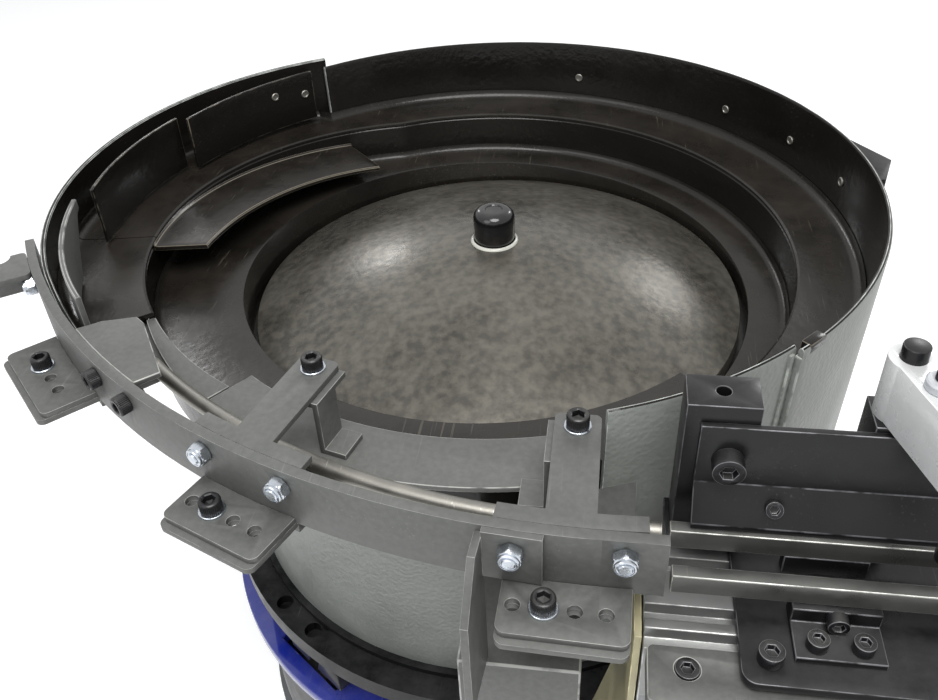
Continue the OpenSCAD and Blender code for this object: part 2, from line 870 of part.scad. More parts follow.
// Leaf springs: three leaning packs, held in slots of the lower clamps
spring_r = 166;
spring_gap = 1;
clamp_w = 52;
clamp_reach = 30;
lower_clamp_h = 24;
spring_rise = clamp_z + clamp_h / 2 - housing_z;
spring_shift = spring_rise * tan(leaf_lean) / 2;
module leaf(gap, w, z0, z1) {
    y0 = z0 * tan(leaf_lean) - spring_shift;
    y1 = z1 * tan(leaf_lean) - spring_shift;
    half = leaf_t / 2 + gap;
    translate([-w / 2, 0, 0])
        rotate([90, 0, 90])
            linear_extrude(w)
                polygon([[y0 - half, z0], [y0 + half, z0], [y1 + half, z1], [y1 - half, z1]]);
}
module at_springs() {
    for (a = spring_as)
        rotate([0, 0, a])
            translate([spring_r, 0, housing_z])
                children();
}
module leaf_springs() {
    color("goldenrod")
        at_springs()
            leaf(0, leaf_w, fit, spring_rise);
}
module upper_clamps() {
    color("black")
        at_springs()
            difference() {
                translate([-leaf_w / 2, spring_shift - clamp_w / 2, clamp_z - housing_z])
                    cube([leaf_w / 2 + clamp_reach, clamp_w, clamp_h]);
                leaf(spring_gap, leaf_w + clamp_w, clamp_z - housing_z - over, spring_rise + over);
            }
}
module lower_clamps() {
    color("gray")
        at_springs()
            difference() {
                translate([-leaf_w / 2, -spring_shift - clamp_w / 2, 0])
                    cube([leaf_w, clamp_w, lower_clamp_h]);
                leaf(fit, leaf_w + clamp_w, -over, lower_clamp_h + over);
            }
}

// The electromagnet on the casting and its armature under the hub
core_w = 60;
core_slot = 14;
core_h = 52;
coil_over = 12;
air_gap = 2;
armature_t = 12;
magnet_z = ring_z - armature_t - air_gap;
module armature() {
    color("gray")
        translate([-core_w / 2, -core_w / 2, ring_z - armature_t])
            difference() {
                cube([core_w, core_w, armature_t]);
                translate([core_w / 2, core_w / 2, -over])
                    cylinder(d = bolt_d + 2 * fit, h = armature_t + 2 * over);
            }
}
module magnet_core() {
    color("gray")
        difference() {
            translate([-core_w / 2, -core_w / 2, housing_z])
                cube([core_w, core_w, magnet_z - housing_z]);
            for (x = [-core_w / 4, core_w / 4])
                translate([x - core_slot / 2, -core_w, magnet_z - core_h])
                    cube([core_slot, 2 * core_w, core_h + over]);
        }
}
module magnet_coil() {
    coil_in = core_w / 4 - core_slot / 2 + fit;
    coil_out = core_w / 4 + core_slot / 2 - fit;
    color("maroon")
        translate([0, 0, magnet_z - core_h + fit])
            difference() {
                translate([-coil_out, -core_w / 2 - coil_over, 0])
                    cube([2 * coil_out, core_w + 2 * coil_over, core_h - coil_over]);
                translate([fit - coil_in, -core_w / 2 - fit, -over])
                    cube([2 * coil_in - 2 * fit, core_w + 2 * fit, core_h]);
            }
}

// The fixed part of the drive: plate, feet, casting, housing, cover and gland
plate_r = 200;
wing_x = 372;
wing_y0 = -300;
wing_y1 = -120;
mount_pitch = 260;
mount_hole_r = 5.5;
wing_hole_x = 354;
wing_pitch = 120;
module mount_plate() {
    color("dimgray")
        difference() {
            union() {
                cylinder(r = plate_r, h = base_plate_t);
                translate([0, wing_y0, 0])
                    cube([wing_x, wing_y1 - wing_y0, base_plate_t]);
            }
            for (x = [-1, 1], y = [-1, 1])
                translate([x * mount_pitch / 2, y * mount_pitch / 2, -over])
                    cylinder(r = mount_hole_r, h = base_plate_t + 2 * over);
            for (y = [-1, 1])
                translate([wing_hole_x, (wing_y0 + wing_y1) / 2 + y * wing_pitch / 2, -over])
                    cylinder(r = mount_hole_r, h = base_plate_t + 2 * over);
        }
}
feet_as = [-90, 30, 150];
feet_r = 130;
stand_foot_d = 30;
stand_foot_h = 16;
stand_foot_shares = [0.2, 0.8];
module rubber_feet() {
    color("black") {
        for (a = feet_as)
            rotate([0, 0, a])
                translate([feet_r, 0, foot_z])
                    cylinder(d = foot_d, h = foot_h);
        for (s = stand_foot_shares)
            translate([stand_x + s * stand_l, profile_y, track_base_z - stand_foot_h])
                cylinder(d = stand_foot_d, h = stand_foot_h);
    }
}
module drive_casting() {
    color("gray")
        translate([0, 0, casting_z])
            cylinder(r = casting_r, h = casting_h);
}
gland_a = 100;
gland_d = 20;
gland_l = 16;
gland_shares = [0.6, 0.75, 0.4];
module drive_housing() {
    color("black")
        translate([0, 0, casting_z])
            difference() {
                cylinder(r = housing_r, h = casting_h + housing_h);
                translate([0, 0, -over])
                    cylinder(r = housing_r - wall_t, h = casting_h + housing_h + 2 * over);
                rotate([0, 0, gland_a])
                    translate([0, 0, casting_h + gland_d])
                        rotate([0, 90, 0])
                            cylinder(d = gland_shares[0] * gland_d, h = 2 * housing_r);
            }
}
cover_hole_r = 62;
slot_w = 60;
slot_l = 54;
module drive_cover() {
    color("navy")
        translate([0, 0, cover_z])
            difference() {
                cylinder(r = cover_r, h = cover_t);
                translate([0, 0, -over])
                    cylinder(r = cover_hole_r, h = cover_t + 2 * over);
                for (a = spring_as)
                    rotate([0, 0, a])
                        translate([spring_r - slot_l / 2, -slot_w / 2, -over])
                            cube([slot_l, slot_w, cover_t + 2 * over]);
            }
}
module cable_gland() {
    color("black")
        rotate([0, 0, gland_a])
            translate([housing_r + fit, 0, casting_z + casting_h + gland_d])
                rotate([0, 90, 0])
                    difference() {
                        union() {
                            cylinder(d = gland_d, h = gland_l / 2, $fn = 6);
                            cylinder(d = gland_shares[1] * gland_d, h = gland_l);
                        }
                        translate([0, 0, -over])
                            cylinder(d = gland_shares[2] * gland_d, h = gland_l + 2 * over);
                    }
}

// The linear track: heights and places
rail_z = rod_z + rod_d / 2;
near_y = -track_y - rod_gap / 2;
far_y = -track_y + rod_gap / 2;
rail_x = exit_x + run_gap;
block_gap = 14;
profile_top = rail_z - rail_h - block_gap;
profile_z = profile_top - profile_h;
profile_lead = 9;
profile_x = rail_x - profile_lead;
profile_l = rail_l + profile_lead;
profile_shift = 2.5;
profile_y = -track_y - profile_shift;
deck_lead = 27;
deck_x = rail_x + deck_lead;
deck_front = 45.5;
deck_top = profile_top + deck_t;
side_w = 26;
side_t = 10;
side_drop = 2;
side_screw_share = 0.6;
module rails() {
    color("silver")
        for (y = [near_y, far_y])
            translate([rail_x, y - rail_t / 2, rail_z - rail_h])
                cube([rail_l, rail_t, rail_h]);
}

// The slotted profile under the rails
slot_mouth = 7;
slot_deep = 6;
slot_ys = [-23, -11, 14];
module track_profile() {
    color("silver")
        translate([profile_x, profile_y, profile_z])
            difference() {
                translate([0, -profile_w / 2, 0])
                    cube([profile_l, profile_w, profile_h]);
                for (y = slot_ys)
                    translate([-over, y - slot_mouth / 2, profile_h - slot_deep])
                        cube([profile_l + 2 * over, slot_mouth, slot_deep + over]);
            }
}

// The black deck on the profile, with a narrow tongue at the back that starts further left
tongue_w = 24;
deck_round = 6;
tongue_gap = 3;
module track_plate() {
    back_y = tongue_gap - rim_r;
    front_y = -track_y - deck_front;
    color("black")
        translate([0, 0, profile_top])
            linear_extrude(deck_t) {
                translate([deck_x, front_y])
                    round_rect(rail_x + rail_l - deck_x, back_y - front_y, deck_round);
                translate([rail_x, back_y - tongue_gap])
                    square([rail_l, tongue_w - fit]);
            }
}

// The grey plate on the front of the profile
module side_plate() {
    color("gray")
        translate([profile_x + over, profile_y - profile_w / 2 - side_w, profile_top - side_drop - side_t])
            difference() {
                linear_extrude(side_t)
                    round_rect(profile_l - over, side_w - fit, arm_round);
                translate([side_screw_share * side_w, side_screw_share * side_w, side_t / 2])
                    cylinder(d = head_share * screw_d, h = side_t);
                translate([side_screw_share * side_w, side_screw_share * side_w, -over])
                    cylinder(d = screw_d + fit, h = side_t);
            }
}

// L-shaped blocks that carry the near rail, and plain ones under the far rail
block_xs = [64, 188];
block_w = 34;
block_foot_t = 3;
block_foot = 20;
module rail_blocks() {
    color("black")
        for (x = block_xs)
            translate([rail_x + x - block_w / 2, near_y - rail_t / 2, deck_top]) {
                translate([0, -block_foot_t, 0])
                    cube([block_w, rail_t + block_foot_t, rail_z - rail_h - deck_top]);
                translate([0, -block_foot, 0])
                    cube([block_w, block_foot, block_foot_t]);
                translate([0, rod_gap, 0])
                    cube([block_w, rail_t, rail_z - rail_h - deck_top]);
            }
}

// The back angle over the far rail: an upright with a sloping flange
angle_lead = 8;
angle_back = 2;
flange_out = 10;
fold_share = 0.375;
flange_drop = fold_share * angle_h - plate_t - fit;
upright_y = -rim_r - angle_back;
fold_z = rail_z + fold_share * angle_h;
module back_angle() {
    color("black")
        translate([rail_x + angle_lead, upright_y, 0])
            rotate([90, 0, 90])
                linear_extrude(rail_l - angle_lead)
                    polygon([[0, fold_z], [0, rail_z + angle_h], [plate_t, rail_z + angle_h],
                        [plate_t, fold_z - over], [-flange_out, fold_z - flange_drop - plate_t],
                        [-flange_out, fold_z - flange_drop]]);
}

// Two posts on the deck: the black one holds the angle, the white one the sensor
angle_post_w = 29;
angle_post_lead = 2;
angle_post_top = 8;
post_deep = 19;
sensor_x = 82;
sensor_post_w = 18;
pin_d = 10;
pin_clear = 0.05;
sensor_drop = 14;
sensor_h = 27;
bush_h = 6;
post_y = upright_y + plate_t + fit;
module track_posts() {
    post_top = rail_z + angle_h + angle_post_top;
    color("black")
        translate([rail_x + angle_post_lead, post_y, deck_top])
            difference() {
                cube([angle_post_w, post_deep, post_top - deck_top]);
                translate([angle_post_w / 2, post_deep / 2, post_top - deck_top - angle_post_w / 2])
                    cylinder(d = screw_d, h = angle_post_w);
            }
    color("white") {
        translate([rail_x + sensor_x - sensor_post_w / 2, post_y, deck_top])
            cube([sensor_post_w, post_deep, rim_z + sensor_drop - deck_top]);
        translate([rail_x + sensor_x, post_y + post_deep / 2, rim_z + sensor_drop - over])
            cylinder(d = pin_d, h = sensor_h + bush_h + over);
    }
}

// The sensor arm swivels on the white post's pin and reaches over the track
sensor_turn = 18;
sensor_wide = 16;
head_y = 50;
eye_d = 12;
module at_sensor(z) {
    translate([rail_x + sensor_x, post_y + post_deep / 2, z])
        rotate([0, 0, sensor_turn])
            children();
}
module sensor_arm() {
    color("white")
        at_sensor(rim_z + sensor_drop + fit)
            difference() {
                union() {
                    cylinder(d = sensor_wide + steer_t, h = sensor_h);
                    translate([-sensor_wide / 2, -sensor_l, 0])
                        cube([sensor_wide, sensor_l, sensor_h]);
                }
                translate([0, 0, -over])
                    cylinder(d = pin_d + 2 * pin_clear, h = sensor_h + 2 * over);
                translate([0, -head_y, -over])
                    cylinder(d = eye_d + fit, h = sensor_h + 2 * over);
            }
}
module sensor_head() {
    color("black")
        at_sensor(rim_z - sensor_drop)
            translate([0, -head_y, 0]) {
                cylinder(d = eye_d, h = sensor_h + 3 * sensor_drop);
                translate([0, 0, 2 * sensor_drop + sensor_h + 2 * fit])
                    cylinder(d = eye_d + 2 * lip, h = lip, $fn = 6);
            }
}

// The track's screws
small_share = 0.84;
big_share = 1.3;
flange_screw_x = 40;
deck_screw_in = 11;
block_hole_share = 0.7;
angle_screw_share = 0.65;
module track_screws() {
    color("black") {
        for (x = block_xs) {
            for (s = [-block_w / 4, block_w / 4])
                translate([rail_x + x + s, near_y - rail_t / 2 - block_hole_share * block_foot,
                    deck_top + block_foot_t + fit])
                    cap_screw(small_share * screw_d, 0);
            translate([rail_x + x, near_y - rail_t / 2 - block_foot_t - fit,
                deck_top + block_foot_t + screw_d * block_hole_share])
                rotate([90, 0, 0])
                    cap_screw(small_share * screw_d, 0);
        }
        translate([deck_x + deck_screw_in, deck_screw_in - track_y - deck_front, deck_top + fit])
            cap_screw(screw_d, 0);
        translate([rail_x + block_foot, upright_y - fit, rail_z + angle_screw_share * angle_h])
            rotate([90, 0, 0])
                cap_screw(big_share * screw_d, 0);
        translate([rail_x + flange_screw_x, upright_y - flange_out / 2 - fit, fold_z - flange_drop / 2 + fit])
            rotate([atan2(flange_drop, flange_out), 0, 0])
                cap_screw(small_share * small_share * screw_d, 0);
        translate([profile_x + over + side_screw_share * side_w,
            profile_y - profile_w / 2 - side_w + side_screw_share * side_w, profile_top - side_drop - side_t / 2])
            cap_screw(screw_d - fit, side_t / 2);
    }
}

// The linear drive: head block, base block, leaning leaf springs, magnet and stand
head_h = 25;
head_l = 210;
head_w = 46;
track_gap = 0.8;
track_leaf_t = 3;
lean_x = 20;
track_head_z = profile_z - head_h;
track_base_z = track_head_z - track_leaf_l - track_base_h;
base_x = profile_x - track_gap - lean_x + fit;
base_l = head_l + 2 * track_gap - 2 * fit;
stand_side = 10;
stand_x = base_x - stand_side;
stand_l = base_l + 2 * stand_side;
module track_head() {
    color("silver")
        translate([profile_x, profile_y - head_w / 2, track_head_z])
            cube([head_l, head_w, head_h]);
}
module track_leaf(x, top) {
    z0 = track_base_z + fit;
    z1 = track_base_z + track_base_h;
    translate([x, profile_y + head_w / 2, 0])
        rotate([90, 0, 0])
            linear_extrude(head_w)
                polygon([[-lean_x, z0], [track_leaf_t - lean_x, z0], [track_leaf_t - lean_x, z1],
                    [track_leaf_t, track_head_z], [track_leaf_t, top], [0, top], [0, track_head_z],
                    [-lean_x, z1]]);
}
module track_springs() {
    color("goldenrod") {
        track_leaf(profile_x - track_gap - track_leaf_t, profile_top - side_drop);
        track_leaf(profile_x + head_l + track_gap, profile_z - over);
    }
}
module track_base() {
    color("gray")
        translate([base_x, profile_y - head_w / 2, track_base_z])
            cube([base_l, head_w, track_base_h]);
}
module track_magnet() {
    color("maroon")
        translate([profile_x + head_l / 2 - core_w / 2, profile_y - head_w / 4, track_base_z + track_base_h])
            cube([core_w, head_w / 2, track_leaf_l - air_gap]);
}
module track_stand() {
    stand_h = track_base_z - stand_foot_h - base_plate_t;
    color("dimgray")
        translate([stand_x, profile_y - head_w / 2, base_plate_t]) {
            translate([0, 0, stand_h - side_t])
                cube([stand_l, head_w, side_t]);
            for (x = [0, stand_l - head_w])
                translate([x, 0, 0])
                    cube([head_w, head_w, stand_h]);
        }
}

bowl_drum();
riser();
inner_track();
outer_track();
left_track();
outer_wall();
left_wall();
dome();
centre_post();
centre_bolt();
centre_knob();
steer_plates();
return_cover();
guide_plate();
transfer_plate();
return_shelf();
rim_lug();
guard_bar();
rod_inner();
rod_outer();
hold_down();
arms();
arm_posts();
guard_tabs();
bowl_lugs();
corner_bracket();
bracket_box();
hook_lever();
bowl_screws();
bowl_washers();
lock_nuts();
wall_screws();
top_ring();
upper_clamps();
armature();
mount_plate();
rubber_feet();
drive_casting();
drive_housing();
drive_cover();
leaf_springs();
lower_clamps();
magnet_core();
magnet_coil();
cable_gland();
track_stand();
track_base();
track_springs();
track_magnet();
track_head();
track_profile();
track_plate();
side_plate();
rails();
rail_blocks();
back_angle();
track_posts();
track_screws();
sensor_arm();
sensor_head();
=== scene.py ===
import math

import bmesh
import bpy
from mathutils import Matrix, Vector


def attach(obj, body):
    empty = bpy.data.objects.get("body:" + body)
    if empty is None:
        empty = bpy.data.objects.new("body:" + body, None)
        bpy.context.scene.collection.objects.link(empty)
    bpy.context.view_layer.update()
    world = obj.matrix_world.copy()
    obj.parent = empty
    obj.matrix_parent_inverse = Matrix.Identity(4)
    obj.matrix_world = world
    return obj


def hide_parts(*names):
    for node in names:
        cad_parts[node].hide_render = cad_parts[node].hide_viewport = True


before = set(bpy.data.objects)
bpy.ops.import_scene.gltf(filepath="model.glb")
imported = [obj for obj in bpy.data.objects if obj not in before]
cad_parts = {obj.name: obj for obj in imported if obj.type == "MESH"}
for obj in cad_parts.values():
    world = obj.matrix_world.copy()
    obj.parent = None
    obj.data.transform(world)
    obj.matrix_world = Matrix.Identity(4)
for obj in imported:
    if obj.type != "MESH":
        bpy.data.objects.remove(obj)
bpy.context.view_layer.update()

# Room
# A plain pale floor under the feeder's plate, a broad soft light overhead, a weaker one in
# front and two small ones behind. The camera looks down into the bowl from the discharge side.
mm = 0.001
scene = bpy.context.scene
scene.view_settings.view_transform = "Standard"


def add(tree, kind, sockets=None, **props):
    """A node with its properties and its sockets set; a socket's value may be another's output."""
    made = tree.nodes.new(kind)
    for key, value in props.items():
        setattr(made, key, value)
    for key, value in (sockets or {}).items():
        if isinstance(value, bpy.types.NodeSocket):
            tree.links.new(value, made.inputs[key])
        else:
            made.inputs[key].default_value = value
    return made


def maths(tree, operation, a, b=0.5, clamp=False):
    """One sum between two values or sockets."""
    return add(tree, "ShaderNodeMath", {0: a, 1: b}, operation=operation, use_clamp=clamp).outputs[0]


def surface(tree, kind, plain, shown):
    """Puts out the plain shader, and the other one to the camera and in metal and glass."""
    rays = add(tree, "ShaderNodeLightPath").outputs
    bounced = maths(tree, "MAXIMUM", rays["Is Glossy Ray"], rays["Is Transmission Ray"])
    seen = maths(tree, "MAXIMUM", rays["Is Camera Ray"], bounced)
    mix = add(tree, "ShaderNodeMixShader", {0: seen, 1: plain.outputs[0], 2: shown.outputs[0]})
    add(tree, kind, {"Surface": mix.outputs[0]})


world = bpy.data.worlds.new("Soft room")
scene.world = world
world.use_nodes = True
room = world.node_tree
room.nodes.clear()
room_fill = add(room, "ShaderNodeBackground", {"Color": (0.96, 0.98, 1.0, 1), "Strength": 0.5})
room_white = add(room, "ShaderNodeBackground", {"Color": (1, 1, 1, 1), "Strength": 1.0})
surface(room, "ShaderNodeOutputWorld", room_fill, room_white)


def soft_light(name, place, aim, size, power, tint=(1, 1, 1)):
    """A round lamp at a place in metres, turned to what it lights."""
    data = bpy.data.lights.new(name, "AREA")
    data.shape = "DISK"
    data.size = size
    data.energy = power
    data.color = tint
    lamp = bpy.data.objects.new(name, data)
    lamp.location = place
    lamp.rotation_euler = (Vector(aim) - Vector(place)).to_track_quat("-Z", "Y").to_euler()
    scene.collection.objects.link(lamp)


soft_light("Overhead", (0.2, -0.85, 2.05), (0.05, -0.05, 0.35), size=1.2, power=34, tint=(1, 0.99, 0.97))
soft_light("Front", (-1.1, -1.5, 1.7), (0.0, -0.1, 0.35), size=1.3, power=10, tint=(0.97, 0.98, 1))
soft_light("Back left", (-0.98, 1.56, 1.22), (-0.05, 0.0, 0.39), size=0.26, power=2.6)
soft_light("Back right", (0.97, 1.54, 1.27), (0.1, 0.0, 0.38), size=0.36, power=4.2)

floor_half, floor_drop = 6.0, 0.5 * mm
floor_corners = [(x * floor_half, y * floor_half, -floor_drop)
                 for x, y in ((-1, -1), (1, -1), (1, 1), (-1, 1))]
floor_mesh = bpy.data.meshes.new("floor")
floor_mesh.from_pydata(floor_corners, [], [(0, 1, 2, 3)])
floor = bpy.data.objects.new("floor", floor_mesh)
scene.collection.objects.link(floor)
floor_paint = bpy.data.materials.new("pale floor")
floor_paint.use_nodes = True
floor_tree = floor_paint.node_tree
floor_tree.nodes.clear()
floor_diffuse = add(floor_tree, "ShaderNodeBsdfDiffuse", {"Color": (0.82, 0.82, 0.82, 1)})
floor_glow = add(floor_tree, "ShaderNodeEmission", {"Color": (1, 1, 1, 1), "Strength": 0.42})
floor_both = add(floor_tree, "ShaderNodeAddShader", {0: floor_diffuse.outputs[0], 1: floor_glow.outputs[0]})
surface(floor_tree, "ShaderNodeOutputMaterial", floor_diffuse, floor_both)
floor_mesh.materials.append(floor_paint)

# The camera's own axes, and its place in metres
to_right, to_top = (0.98952, 0.13839, -0.04124), (-0.05304, 0.61393, 0.78757)
to_back, eye = (0.13431, -0.77713, 0.61484), (0.06645, -0.50051, 0.70498)
camera_data = bpy.data.cameras.new("camera")
camera_data.sensor_width = 36
camera_data.lens = 35.56
camera_data.clip_start = 0.02
camera = bpy.data.objects.new("camera", camera_data)
scene.collection.objects.link(camera)
camera.matrix_world = Matrix.Translation(eye) @ Matrix((to_right, to_top, to_back)).transposed().to_4x4()
scene.camera = camera


# Bowl shell
# Sheet-steel drum and outer wall, rolled, welded and sprayed outside with a pale grey-green
# hammered paint. The black lining of the inside wraps over the rim's edge.
def group(name, inputs, outputs):
    """A shader group of values: its tree, and the sockets of its input and output nodes."""
    tree = bpy.data.node_groups.new(name, "ShaderNodeTree")
    for label, value in inputs.items():
        made = tree.interface.new_socket(name=label, in_out="INPUT", socket_type="NodeSocketFloat")
        made.default_value = value
    for label in outputs:
        tree.interface.new_socket(name=label, in_out="OUTPUT", socket_type="NodeSocketFloat")
    return tree, tree.nodes.new("NodeGroupInput").outputs, tree.nodes.new("NodeGroupOutput").inputs


def here(tree):
    """The piece's own coordinates, in metres."""
    return add(tree, "ShaderNodeTexCoord").outputs["Object"]


def noise(tree, where, **sockets):
    return add(tree, "ShaderNodeTexNoise", {"Vector": where, **sockets}).outputs["Fac"]


def spread(tree, value, low, high):
    """Stretches the values from low to high over 0 to 1."""
    return add(tree, "ShaderNodeMapRange",
               {"Value": value, "From Min": low, "From Max": high}).outputs["Result"]


# Cloudy variation in two sizes, and a fine grain
mottle, given, put = group("Mottle", {"Scale": 30.0, "Spread": 0.16}, ["Cloud", "Fine"])
where = here(mottle)
low = maths(mottle, "SUBTRACT", 0.5, given["Spread"])
high = maths(mottle, "ADD", 0.5, given["Spread"])
cloud = noise(mottle, where, Scale=given["Scale"], Detail=6.0, Roughness=0.62)
mottle.links.new(spread(mottle, cloud, low, high), put["Cloud"])
fine_scale = maths(mottle, "MULTIPLY", given["Scale"], 14.0)
mottle.links.new(noise(mottle, where, Scale=fine_scale, Detail=3.0), put["Fine"])

# Rubbed edges: the bevelled faces carry the attribute edge, broken up by a noise
edge_wear, given, put = group("Edge wear", {"Amount": 0.5}, ["Mask"])
edge = add(edge_wear, "ShaderNodeAttribute", attribute_name="edge").outputs["Fac"]
patchy = noise(edge_wear, here(edge_wear), Scale=95.0, Detail=4.0)
more = maths(edge_wear, "SUBTRACT", given["Amount"], 0.5)
rubbed = spread(edge_wear, maths(edge_wear, "ADD", patchy, more), 0.42, 0.6)
edge_wear.links.new(maths(edge_wear, "MULTIPLY", edge, rubbed), put["Mask"])

# Fine scuffs: two sets of short straight scratches, thinned by a broad noise
scuffs, given, put = group("Scuffs", {"Scale": 700.0}, ["Mask"])
where = here(scuffs)
stretch = (1.0, 0.035, 1.0)
streaks = []
for turn in ((0.5, 0.3, 0.9), (-0.4, 0.6, -0.5)):
    turned = add(scuffs, "ShaderNodeMapping",
                 {"Vector": where, "Rotation": turn, "Scale": stretch}).outputs[0]
    streaks.append(spread(scuffs, noise(scuffs, turned, Scale=given["Scale"], Detail=1.0), 0.69, 0.76))
sparse = spread(scuffs, noise(scuffs, where, Scale=22.0), 0.46, 0.66)
scuffs.links.new(maths(scuffs, "MULTIPLY", maths(scuffs, "MAXIMUM", *streaks), sparse), put["Mask"])

# Dust that settles on what faces up
dust, given, put = group("Settled dust", {"Amount": 0.3}, ["Mask"])
normal = add(dust, "ShaderNodeNewGeometry").outputs["Normal"]
level_part = spread(dust, add(dust, "ShaderNodeSeparateXYZ", {0: normal}).outputs["Z"], 0.6, 1.0)
drift = spread(dust, noise(dust, here(dust), Scale=26.0, Detail=8.0, Roughness=0.7), 0.38, 0.72)
lying = maths(dust, "MULTIPLY", level_part, drift)
dust.links.new(maths(dust, "MULTIPLY", lying, given["Amount"]), put["Mask"])


def place(tree, which, **values):
    """One of the groups above, placed in a material."""
    made = tree.nodes.new("ShaderNodeGroup")
    made.node_tree = which
    for key, value in values.items():
        made.inputs[key].default_value = value
    return made.outputs


def blend(tree, factor, a, b):
    """A colour between a and b."""
    made = add(tree, "ShaderNodeMix", {0: factor}, data_type="RGBA")
    for key, value in ((6, a), (7, b)):
        if isinstance(value, bpy.types.NodeSocket):
            tree.links.new(value, made.inputs[key])
        else:
            made.inputs[key].default_value = (*value, 1)
    return made.outputs[2]


def emboss(material, height, strength, depth):
    """Gives the material the relief of a height, in place of the one it had."""
    tree = material.node_tree
    bump = add(tree, "ShaderNodeBump", {"Height": height, "Strength": strength, "Distance": depth})
    tree.links.new(bump.outputs[0], tree.nodes["Principled BSDF"].inputs["Normal"])


def finish(name, colour, rough, metal=0.0, level=0.5, coat=0.0, shade=0.78, scale=30.0, speckle=0.0,
           worn=None, wear=0.5, scuffed=0.5, dusty=0.12, dust_colour=(0.42, 0.41, 0.38), vary=0.12,
           grain=0.25, grain_depth=0.2 * mm):
    """A painted, moulded or metal finish with clouds, scuffs, rubbed edges, dust and a fine grain.

    The clouds go down to shade times the colour, worn is the colour of scuffs and rubbed edges,
    and the roughness strays by vary; level is the specular level.
    """
    made = bpy.data.materials.new(name)
    made.use_nodes = True
    tree = made.node_tree
    shader = tree.nodes["Principled BSDF"]
    clouds = place(tree, mottle, Scale=scale)
    base = blend(tree, clouds["Cloud"], tuple(c * shade for c in colour), colour)
    lighter, lift, smoothest, dust_dulls = 1.9, 0.05, 0.03, 0.5
    bare = worn or tuple(min(1, c * lighter + lift) for c in colour)
    if speckle:
        flecks = maths(tree, "MULTIPLY", spread(tree, clouds["Fine"], 0.36, 0.64), speckle)
        base = blend(tree, flecks, base, bare)
    base = blend(tree, maths(tree, "MULTIPLY", place(tree, scuffs)["Mask"], scuffed), base, bare)
    base = blend(tree, place(tree, edge_wear, Amount=wear)["Mask"], base, bare)
    settled = place(tree, dust, Amount=dusty)["Mask"]
    tree.links.new(blend(tree, settled, base, dust_colour), shader.inputs["Base Color"])
    varied = add(tree, "ShaderNodeMapRange",
                 {"Value": clouds["Cloud"], "To Min": max(smoothest, rough - vary),
                  "To Max": min(1.0, rough + vary)}).outputs["Result"]
    dulled = maths(tree, "ADD", varied, maths(tree, "MULTIPLY", settled, dust_dulls), clamp=True)
    tree.links.new(dulled, shader.inputs["Roughness"])
    for socket, value in (("Metallic", metal), ("Specular IOR Level", level), ("Coat Weight", coat),
                          ("Coat Roughness", 0.12)):
        shader.inputs[socket].default_value = value
    emboss(made, clouds["Fine"], grain, grain_depth)
    return made


def peel(material, strength, depth, **sockets):
    """The orange-peel skin of a sprayed lining."""
    tree = material.node_tree
    emboss(material, noise(tree, here(tree), **sockets), strength, depth)


# Hammered paint: rounded dimples of two sizes over the plain finish
shell_paint = finish("hammered paint", (0.235, 0.248, 0.232), 0.4, shade=0.9, scuffed=0.08, dusty=0.05,
                     vary=0.06)
tree = shell_paint.node_tree
where = here(tree)
cells = add(tree, "ShaderNodeTexVoronoi", {"Vector": where, "Scale": 420.0, "Smoothness": 0.8},
            feature="SMOOTH_F1").outputs["Distance"]
swell = maths(tree, "MULTIPLY", noise(tree, where, Scale=300.0, Detail=1.0), 0.5)
emboss(shell_paint, maths(tree, "ADD", cells, swell), 0.5, 0.5 * mm)

# Sprayed lining: near-black, glossy, with an orange-peel skin and brownish rubbed patches
lining = finish("black lining", (0.009, 0.008, 0.007), 0.2, level=0.26, shade=0.7, scale=11.0,
                worn=(0.13, 0.115, 0.09), scuffed=0.1, dusty=0.05, dust_colour=(0.1, 0.088, 0.072), vary=0.07)
peel(lining, 0.28, 0.6 * mm, Scale=230.0, Detail=2.0, Roughness=0.45)


def polish(mesh, angle=32):
    """Smooth faces, split where they meet at more than the angle; faces marked plane stay flat."""
    plane = mesh.attributes.get("plane")
    smooth = [not row.value for row in plane.data] if plane else [True] * len(mesh.polygons)
    mesh.polygons.foreach_set("use_smooth", smooth)
    mesh.set_sharp_from_angle(angle=math.radians(angle))


def fit_on(name, mesh, body, nodes):
    """The mesh as a piece on its body, in place of its nodes."""
    obj = bpy.data.objects.new(name, mesh)
    scene.collection.objects.link(obj)
    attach(obj, body)
    if nodes:
        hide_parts(*nodes)


def fit_out(name, mesh, body, *nodes, slot=None):
    """A finished piece: smoothed, and fitted on."""
    polish(mesh)
    fit_on(name, mesh, body, nodes)


def break_edges(bm, width, angle=34):
    """Bevels the edges sharper than the angle, and marks the new faces with the attribute edge."""
    limit, in_line = math.radians(angle), 0.01
    sharp = [e for e in bm.edges if len(e.link_faces) == 2 and e.calc_face_angle(0) > limit]
    plane = bm.faces.layers.int.new("plane")
    for face in bm.faces:
        turns = [e.calc_face_angle(0) for e in face.edges if len(e.link_faces) == 2]
        face[plane] = all(turn > limit or turn < in_line for turn in turns)
    made = bmesh.ops.bevel(bm, geom=sharp, offset=width * mm, offset_type="OFFSET", segments=2, profile=0.5,
                           affect="EDGES", clamp_overlap=True)
    mark = bm.loops.layers.float.new("edge")
    for face in made["faces"]:
        face[plane] = 0
        for loop in face.loops:
            loop[mark] = 1.0


def unit(a):
    """The cosine and the sine of an angle in degrees."""
    return math.cos(math.radians(a)), math.sin(math.radians(a))


